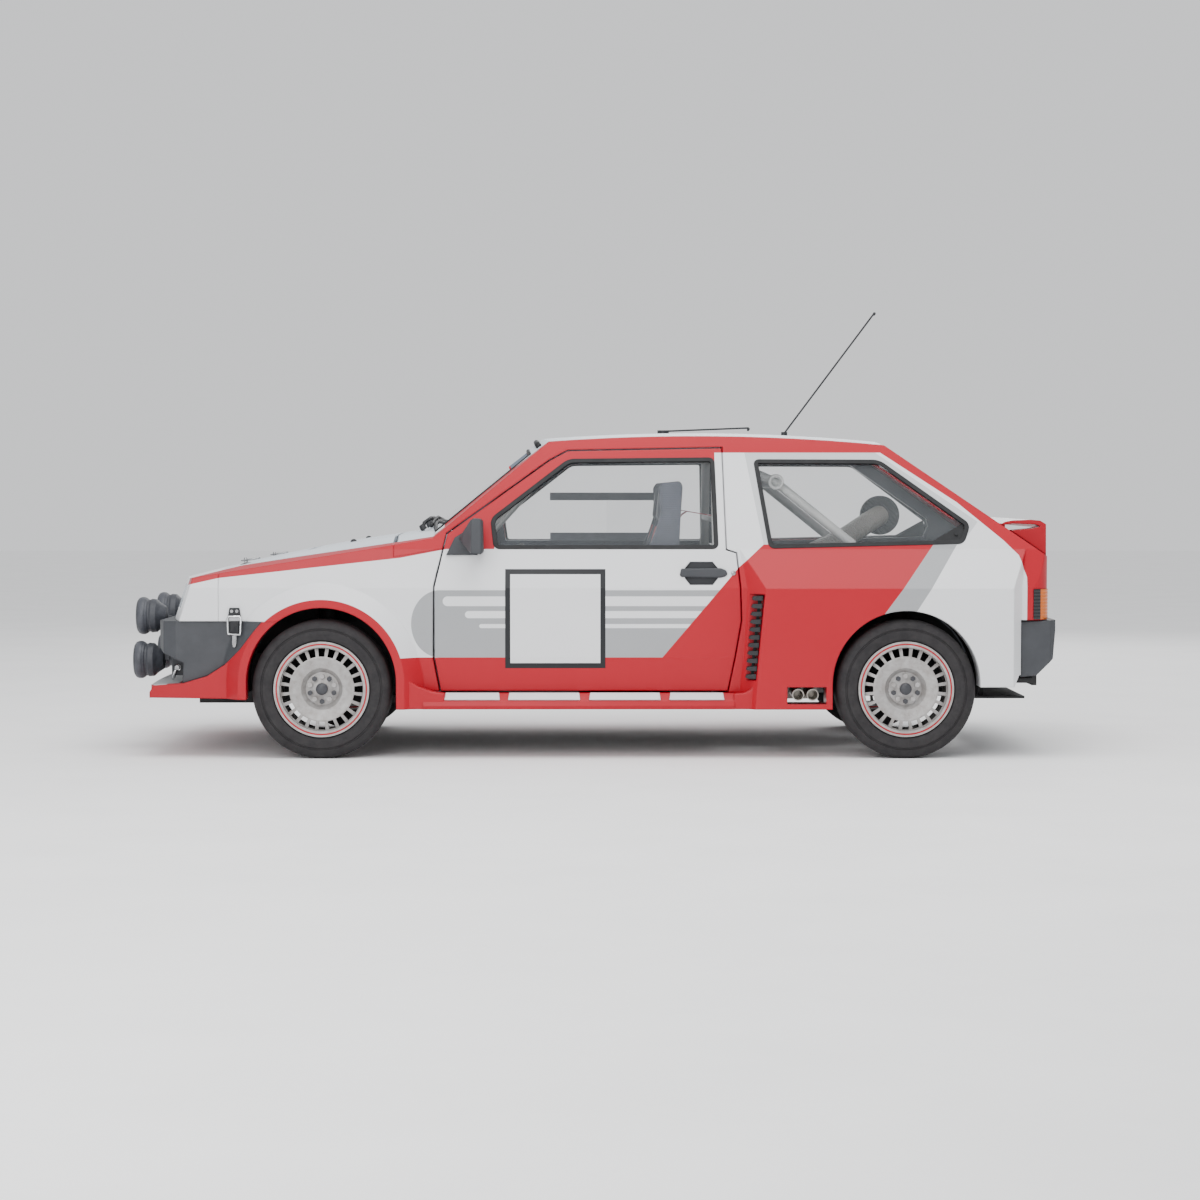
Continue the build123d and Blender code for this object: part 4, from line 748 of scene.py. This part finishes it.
pin_x, pin_half = -1578, 560
for side, name in both_sides:
    top = bonnet_height(pin_x, pin_half)
    cup = [(0.0, 0.027), (0.006, 0.0265), (0.008, 0.023), (0.008, 0.006), (0.026, 0.0050), (0.031, 0.001),
           (0.031, -0.004)]
    shape = turned(cup, at(pin_x, side * pin_half, top), (-0.15, 0, 0.989), 32)
    piece_of("bonnet_pin_" + name, shape, bolt_finish, "bonnet")
    loop = [at(pin_x + dx, side * pin_half + dy, top + 15 + 0.15 * dx) for dx, dy in
            ((-12, -10), (44, -15), (58, -8), (58, 8), (44, 15), (-12, 10), (-20, 0))]
    piece_of("bonnet_clip_" + name, beading(loop, 0.0036, True), bolt_finish, "bonnet")
    jet = [(0.0, 0.012), (0.009, 0.011), (0.014, 0.005), (0.016, -0.004)]
    jet_x, jet_half = -1128, 420
    spot = at(jet_x, side * jet_half, bonnet_height(jet_x, jet_half))
    piece_of("washer_jet_" + name, turned(jet, spot, (-0.17, 0, 0.985), 24), black_finish, "bonnet")

    latch_x = -1600
    shape = bmesh.new()
    outline = [(latch_x - 28, 594), (latch_x + 28, 594), (latch_x + 21, 634), (latch_x - 21, 634)]
    plate(shape, [at(x, side * 799, z) for x, z in outline], Vector((0, side * 0.010, 0)), 0.002)
    piece_of("latch_bracket_" + name, shape, black_finish, "chassis")
    shape = bmesh.new()
    for dx in (-11, 11):
        bolt_head(shape, at(latch_x + dx, side * 809, 620), (0, side, 0), 0.0068, 0.005, 16)
    piece_of("latch_bolts_" + name, shape, bolt_finish, "chassis")
    bow = [at(latch_x + dx, side * (latch_seat(latch_x + dx, z) + 13), z) for dx, z in
           ((-26, 522), (-28, 530), (-28, 590), (-22, 598), (22, 598), (28, 590), (28, 530), (26, 522))]
    piece_of("latch_bow_" + name, beading(bow, 0.0046, True), chrome, "chassis")
    for part, outline, finish, slot in (
        # part, outline about the latch's station, finish, slot
        ("block", [(-19, 526), (19, 526), (19, 578), (-19, 578)], black_finish, "black_steel"),
        ("lever", [(-11, 528), (11, 528), (10, 480), (6, 468), (-6, 468), (-10, 480)], chrome, "steel"),
    ):
        shape = bmesh.new()
        corners = [at(latch_x + dx, side * (latch_seat(latch_x + dx, z) - 1), z) for dx, z in outline]
        plate(shape, corners, Vector((0, side * 0.013, 0)), 0.003)
        piece_of("latch_" + part + "_" + name, shape, finish, "chassis")

screen_square = Vector((-up_screen.z, 0, up_screen.x))


def on_screen(reach, y, proud):
    """Point on the bowed windscreen, so far up it and proud of its skin in millimetres."""
    spot = screen_foot + up_screen * reach + screen_square * (proud - screen_bow * (y / bow_half) ** 2)
    return at(spot.x, y, spot.z)


head_strip = [on_screen(610, y, 5) for y in (-505, -380, -250, -125, 0, 125, 250, 380, 505)]
piece_of("screen_head_strip", beading(head_strip, 0.013), seal_finish, "chassis")
for name, pivot_y, tip_y in (("driver", -330, 60), ("co_driver", 250, 600)):
    arm = [on_screen(-18, pivot_y, 12), on_screen(8, pivot_y + 12, 34), on_screen(40, pivot_y + 70, 30),
           on_screen(46, (pivot_y + tip_y) / 2, 20)]
    piece_of("wiper_arm_" + name, beading(arm, 0.0085), black_finish, "chassis")
    blade_start, blade_end = pivot_y - 120, tip_y - 60
    blade = [on_screen(30 + 26 * share, blade_start + (blade_end - blade_start) * share, 12)
             for share in (0, 0.25, 0.5, 0.75, 1)]
    piece_of("wiper_blade_" + name, beading(blade, 0.0075), seal_finish, "chassis")
    boss = [(0.0, 0.026), (0.012, 0.025), (0.018, 0.019), (0.020, 0.010), (0.024, 0.0), (0.024, -0.012)]
    spot = on_screen(-10, pivot_y, 2)
    piece_of("wiper_spindle_" + name, turned(boss, spot, tuple(screen_square), 24), black_finish, "chassis")

# Lamps: four round driving lamps with ribbed bezels over fluted glass, fluted headlamps in the
# nose, and tail lamps that wrap round the corner, black at the side and amber at the rear.
lamp_body, tree, shader, place = new_finish("lamp_body_plastic", specular_ior_level=0.45)
forward = add(tree, "SeparateXYZ", {"Vector": add(tree, "TexCoord").outputs["Normal"]}).outputs["X"]
lens_face = add(tree, "Math", {0: forward, 1: -0.93}, operation="LESS_THAN").outputs[0]
at_front = add(tree, "Math", {0: add(tree, "SeparateXYZ", {"Vector": place}).outputs["X"], 1: mid_x - 2.078},
               operation="LESS_THAN").outputs[0]
on_lens = combine(tree, "MINIMUM", [lens_face, at_front])
tree.links.new(over(tree, mottled(tree, place, ("#303238", "#3A3C42"), 0.03), on_lens, "#B9C2C9"),
               shader.inputs["Base Color"])
tree.links.new(spread(tree, on_lens, 0.5, 0.1), shader.inputs["Roughness"])


def fluted(tree, shader, place, scale, direction, strength, mask=None):
    """Moulded flutes on a lens as a bump, where a mask holds if there is one; gives the flutes back."""
    flutes = add(tree, "TexWave", {"Vector": place, "Scale": scale}, bands_direction=direction).outputs["Fac"]
    height = add(tree, "Math", {0: flutes, 1: mask}, operation="MULTIPLY").outputs[0] if mask else flutes
    bump = add(tree, "Bump", {"Height": height, "Strength": strength, "Distance": 0.003})
    tree.links.new(bump.outputs["Normal"], shader.inputs["Normal"])
    return flutes


fluted(tree, shader, place, 24.0, "Y", 0.5, on_lens)
dress(lamp_body, "lamp_set")
bezel_finish = grained("satin_bezel_plastic", ("#3D3F45", "#484A51"), 0.03, 0.003, (0.4, 0.55), 0.0004,
                       specular_ior_level=0.45)
for name, y, z, front in (
    # name, half width, height, station of the front face
    ("upper_left", -300, 579, -2089), ("upper_right", 300, 579, -2089),
    ("lower_left", -350, 389, -2094), ("lower_right", 350, 389, -2094),
):
    ring = [(0.0665, 0.0035), (0.0715, 0.0075), (0.0785, 0.0125), (0.0818, 0.021), (0.0822, 0.030),
            (0.0812, 0.038), (0.0790, 0.0405), (0.0790, 0.0425), (0.0745, 0.0490), (0.0690, 0.0500),
            (0.0690, 0.0480), (0.0640, 0.0200), (0.0665, 0.0035)]
    shape = turned(ring, at(front, y, z), (1, 0, 0), 56)
    piece_of("lamp_bezel_" + name, shape, bezel_finish, "chassis")

headlamp_finish, tree, shader, place = new_finish("fluted_headlamp_glass", base_color=linear("#BCC6CE"),
                                                  ior=1.5)
flutes = fluted(tree, shader, place, 28.0, "Y", 0.4)
tree.links.new(spread(tree, flutes, 0.05, 0.16), shader.inputs["Roughness"])
dress(headlamp_finish, "headlamps")

tail_finish, tree, shader, place = new_finish("ribbed_acrylic_lens")
local = add(tree, "Mapping", {"Vector": place, "Location": (-mid_x, 0, 0)}).outputs["Vector"]
parts = add(tree, "SeparateXYZ", {"Vector": place})
half = add(tree, "Math", {0: parts.outputs["Y"]}, operation="ABSOLUTE").outputs[0]
rear_part = side_of(tree, local, (1803, 0), (1803, 1))
inboard = add(tree, "Math", {0: half, 1: 0.705}, operation="LESS_THAN").outputs[0]
lens = over(tree, linear("#1B1B1E"), rear_part, "#C4600E")
lens = over(tree, lens, combine(tree, "MINIMUM", [rear_part, inboard]), "#8E1018")
tree.links.new(lens, shader.inputs["Base Color"])
flutes = fluted(tree, shader, place, 22.0, "Z", 0.5)
tree.links.new(spread(tree, flutes, 0.08, 0.2), shader.inputs["Roughness"])
dress(tail_finish, "tail_lamps")

# Tow shackles and the rear plate: plated pins through the two front towing lugs, and a blank
# white plate on the tailgate with two small lamps over it.
lug_x, lug_half, lug_z = -1880, 520, 366
for side, name in both_sides:
    bend = ((0, -19, 0), (-12, -19, -22), (-20, -12, -44), (-22, 0, -50), (-20, 12, -44), (-12, 19, -22),
            (0, 19, 0))
    shackle = [at(lug_x + dx, side * lug_half + dy, lug_z + dz) for dx, dy, dz in bend]
    piece_of("tow_shackle_" + name, beading(shackle, 0.006), chrome, "chassis")
    shape = bmesh.new()
    for face in (-1, 1):
        bolt_head(shape, at(lug_x, side * lug_half + face * 24, lug_z), (0, face, 0), 0.012, 0.009)
    piece_of("tow_pin_" + name, shape, bolt_finish, "chassis")
shape = bmesh.new()
plate(shape, [at(1841.5, y, z) for y, z in ((-260, 640), (260, 640), (260, 752), (-260, 752))],
      Vector((0.003, 0, 0)), 0.001)
piece_of("rear_plate", shape, white_paint, "tailgate")
shape = bmesh.new()
for y in (-120, 120):
    plate(shape, [at(1840.5, y + dy, z) for dy, z in ((-34, 768), (34, 768), (30, 790), (-30, 790))],
          Vector((0.018, 0, -0.003)), 0.004)
piece_of("plate_lamps", shape, black_finish, "tailgate")

# Cabin: tubular cage in pale grey paint, black vinyl dash, leather-rimmed steering wheel, and two
# moulded bucket seats with sewn pads and red harness webbing.
cage_finish = grained("cage_tube_paint", ("#A9ABAA", "#B8B9B7"), 0.1, 0.004, (0.32, 0.48), 0.0003)
vinyl = grained("grained_vinyl", ("#26282C", "#313338"), 0.06, 0.003, (0.5, 0.68), 0.0008, edge=0.012)
leather = grained("stitched_leather", ("#1A1A1C", "#252528"), 0.02, 0.002, (0.45, 0.6), 0.0006)
dress(cage_finish, "roll_cage")
dress(vinyl, "dashboard")
dress(leather, "steering_wheel")

seat_cloth, tree, shader, place = new_finish("woven_seat_cloth", sheen_weight=0.3, sheen_roughness=0.5)
tree.links.new(mottled(tree, place, ("#3A3D47", "#474A56"), 0.03), shader.inputs["Base Color"])
thread = 0.004
warp = add(tree, "TexWave", {"Vector": place, "Scale": 1 / thread / 6.28}, bands_direction="Y").outputs["Fac"]
weft = add(tree, "TexWave", {"Vector": place, "Scale": 1 / thread / 6.28}, bands_direction="Z").outputs["Fac"]
weave = add(tree, "Math", {0: warp, 1: weft}, operation="MULTIPLY").outputs[0]
tree.links.new(spread(tree, weave, 0.75, 0.95), shader.inputs["Roughness"])
bump = add(tree, "Bump", {"Height": weave, "Strength": 0.35, "Distance": 0.0015})
tree.links.new(bump.outputs["Normal"], shader.inputs["Normal"])
shell_finish = grained("black_laminate_shell", ("#202126", "#2C2E34"), 0.03, 0.006, (0.3, 0.45), 0.0005,
                       specular_ior_level=0.5)
webbing = grained("woven_polyester_webbing", ("#8E1D2A", "#A32534"), 0.02, 0.0015, (0.6, 0.8), 0.0006,
                  sheen_weight=0.2)


def swollen_pad(name, corners, depth, cap, channels):
    """A sewn pad: a plate blown up as cloth by a little air, then drawn in along its channels."""
    shape = bmesh.new()
    plate(shape, corners, depth, 0.014)
    for vert in shape.verts:  # to a hundredth of a millimetre, so that each run blows up the same skin
        vert.co = [round(c, 5) for c in vert.co]
    pad = object_of(name, shape)
    remesh = pad.modifiers.new("even_skin", "REMESH")
    remesh.mode = "VOXEL"
    remesh.voxel_size = 0.006
    graph = bpy.context.evaluated_depsgraph_get()
    even = bpy.data.meshes.new_from_object(pad.evaluated_get(graph))
    pad.modifiers.clear()
    pad.data = even
    start = [vert.co.copy() for vert in even.vertices]
    cloth = pad.modifiers.new("air", "CLOTH")
    cloth.settings.use_pressure = True
    cloth.settings.uniform_pressure_force = 4.0
    cloth.settings.effector_weights.gravity = 0.0
    for number in range(1, 21):
        bpy.context.scene.frame_set(number)
    graph = bpy.context.evaluated_depsgraph_get()
    blown = [vert.co.copy() for vert in pad.evaluated_get(graph).data.vertices]
    pad.modifiers.clear()
    bpy.context.scene.frame_set(1)
    for vert, was, now in zip(even.vertices, start, blown):
        move = now - was
        vert.co = was + move * min(1.0, cap / max(move.length, 1e-9))
    for vert in even.vertices:
        for axis, spot, width, deep in channels:
            pinch = math.exp(-((vert.co[axis] - spot) / width) ** 2)
            vert.co -= vert.normal * deep * pinch
    for face in even.polygons:
        face.use_smooth = True
    smooth = pad.modifiers.new("soft", "SUBSURF")
    smooth.levels = smooth.render_levels = 1
    return pad


def ribbon(points, width, thick):
    """Flat webbing along a chain of points, its width across the car."""
    shape = bmesh.new()
    across = Vector((0, width / 2, 0))
    edge = shape.edges.new([shape.verts.new(points[0] - across), shape.verts.new(points[0] + across)])
    for before, after in zip(points, points[1:]):
        grown = bmesh.ops.extrude_edge_only(shape, edges=[edge])["geom"]
        bmesh.ops.translate(shape, verts=[v for v in grown if isinstance(v, bmesh.types.BMVert)],
                            vec=after - before)
        edge = [e for e in grown if isinstance(e, bmesh.types.BMEdge)][0]
    bmesh.ops.solidify(shape, geom=list(shape.faces), thickness=thick)
    bmesh.ops.recalc_face_normals(shape, faces=shape.faces)
    return shape


seat_half = 350
pad_kit = (
    # name, side-view corners, half width
    ("seat_cushion", [(-140, 352), (132, 352), (128, 395), (-90, 428), (-144, 410)], 172),
    ("seat_back", [(150, 440), (196, 440), (228, 950), (186, 950)], 172),
    ("seat_head", [(198, 985), (232, 985), (262, 1140), (236, 1160), (214, 1140)], 128),
)
for name, outline, half in pad_kit:
    corners = [at(x, -seat_half - half, z) for x, z in outline]
    sewn = () if name == "seat_head" else (-80, 0, 80)
    channels = [(1, (-seat_half + dy) / 1000, 0.007, 0.006) for dy in sewn]
    pad = swollen_pad(name + "_left", corners, Vector((0, 2 * half / 1000, 0)), 0.012, channels)
    twin = bpy.data.objects.new(name + "_right", pad.data.copy())
    twin.data.transform(Matrix.Translation((0, 2 * seat_half / 1000, 0)))
    bpy.context.scene.collection.objects.link(twin)
    smooth = twin.modifiers.new("soft", "SUBSURF")
    smooth.levels = smooth.render_levels = 1
    for piece in (pad, twin):
        piece.data.materials.clear()
        piece.data.materials.append(seat_cloth)
        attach(piece, "chassis")
shells = bmesh.new()
wings = bmesh.new()
for side in (-1, 1):
    outline = [(-150, 240), (-150, 338), (140, 338), (200, 440), (232, 950), (240, 985), (268, 1140),
               (262, 1166), (285, 1170), (299, 1150), (250, 420), (240, 240)]
    plate(shells, [at(x, side * seat_half - 205, z) for x, z in outline], Vector((0, 0.410, 0)), 0.010)
    for edge in (-1, 1):
        outline = [(-128, 302), (-128, 440), (-100, 466), (96, 468), (136, 540), (150, 880), (177, 945),
                   (193, 992), (205, 1040), (196, 1082), (195, 1140), (210, 1162), (282, 1167), (296, 1148),
                   (291, 1060), (272, 640), (255, 302)]
        foot = side * seat_half + edge * 207
        plate(wings, [at(x, foot - 16, z) for x, z in outline], Vector((0, 0.032, 0)), 0.007)
piece_of("seat_shells", shells, shell_finish, "chassis", ("seats",))
bolsters = piece_of("seat_bolsters", wings, seat_cloth, "chassis")

for side, seat in both_sides:
    for lean in (-1, 1):
        y = side * seat_half + lean * 75
        path = [at(x, y, z) for x, z in ((440, 1016), (322, 1036), (300, 1022), (270, 978), (188, 968),
                                         (158, 860), (136, 640), (96, 470), (60, 446))]
        strap = ribbon(path, 0.050, 0.0025)
        piece_of("harness_" + seat + ("_outer" if lean == side else "_inner"), strap, webbing, "chassis")

# Harness bar and tube sockets: a tube across the main hoop that the shoulder straps loop round, and
# a welded collar on each end of the cross tube behind the seats, in the cage's paint.
piece_of("harness_bar", beading([at(440, y, 1004) for y in (-604, -300, 300, 604)], 0.016), cage_finish,
         "chassis")
for side, name in both_sides:
    collar = [(0.021, 0.012), (0.024, 0.016), (0.031, 0.016), (0.034, 0.012), (0.034, -0.016),
              (0.021, -0.016), (0.021, 0.012)]
    shape = turned(collar, at(700, side * 530, 1165), (0, side, 0), 40)
    piece_of("cage_collar_" + name, shape, cage_finish, "chassis")

# Aerial tips: a black moulded ball pressed on the tip of each roof whip.
for name, x, z in (("short", 613, 1409), ("tall", 1177, 1926)):
    ball = [(0.0, 0.0), (0.0045, -0.001), (0.0068, -0.006), (0.0068, -0.010), (0.0045, -0.015), (0.0, -0.016)]
    piece_of("aerial_tip_" + name, turned(ball, at(x, 0, z), (0.35, 0, 0.937), 20), black_finish, "chassis")
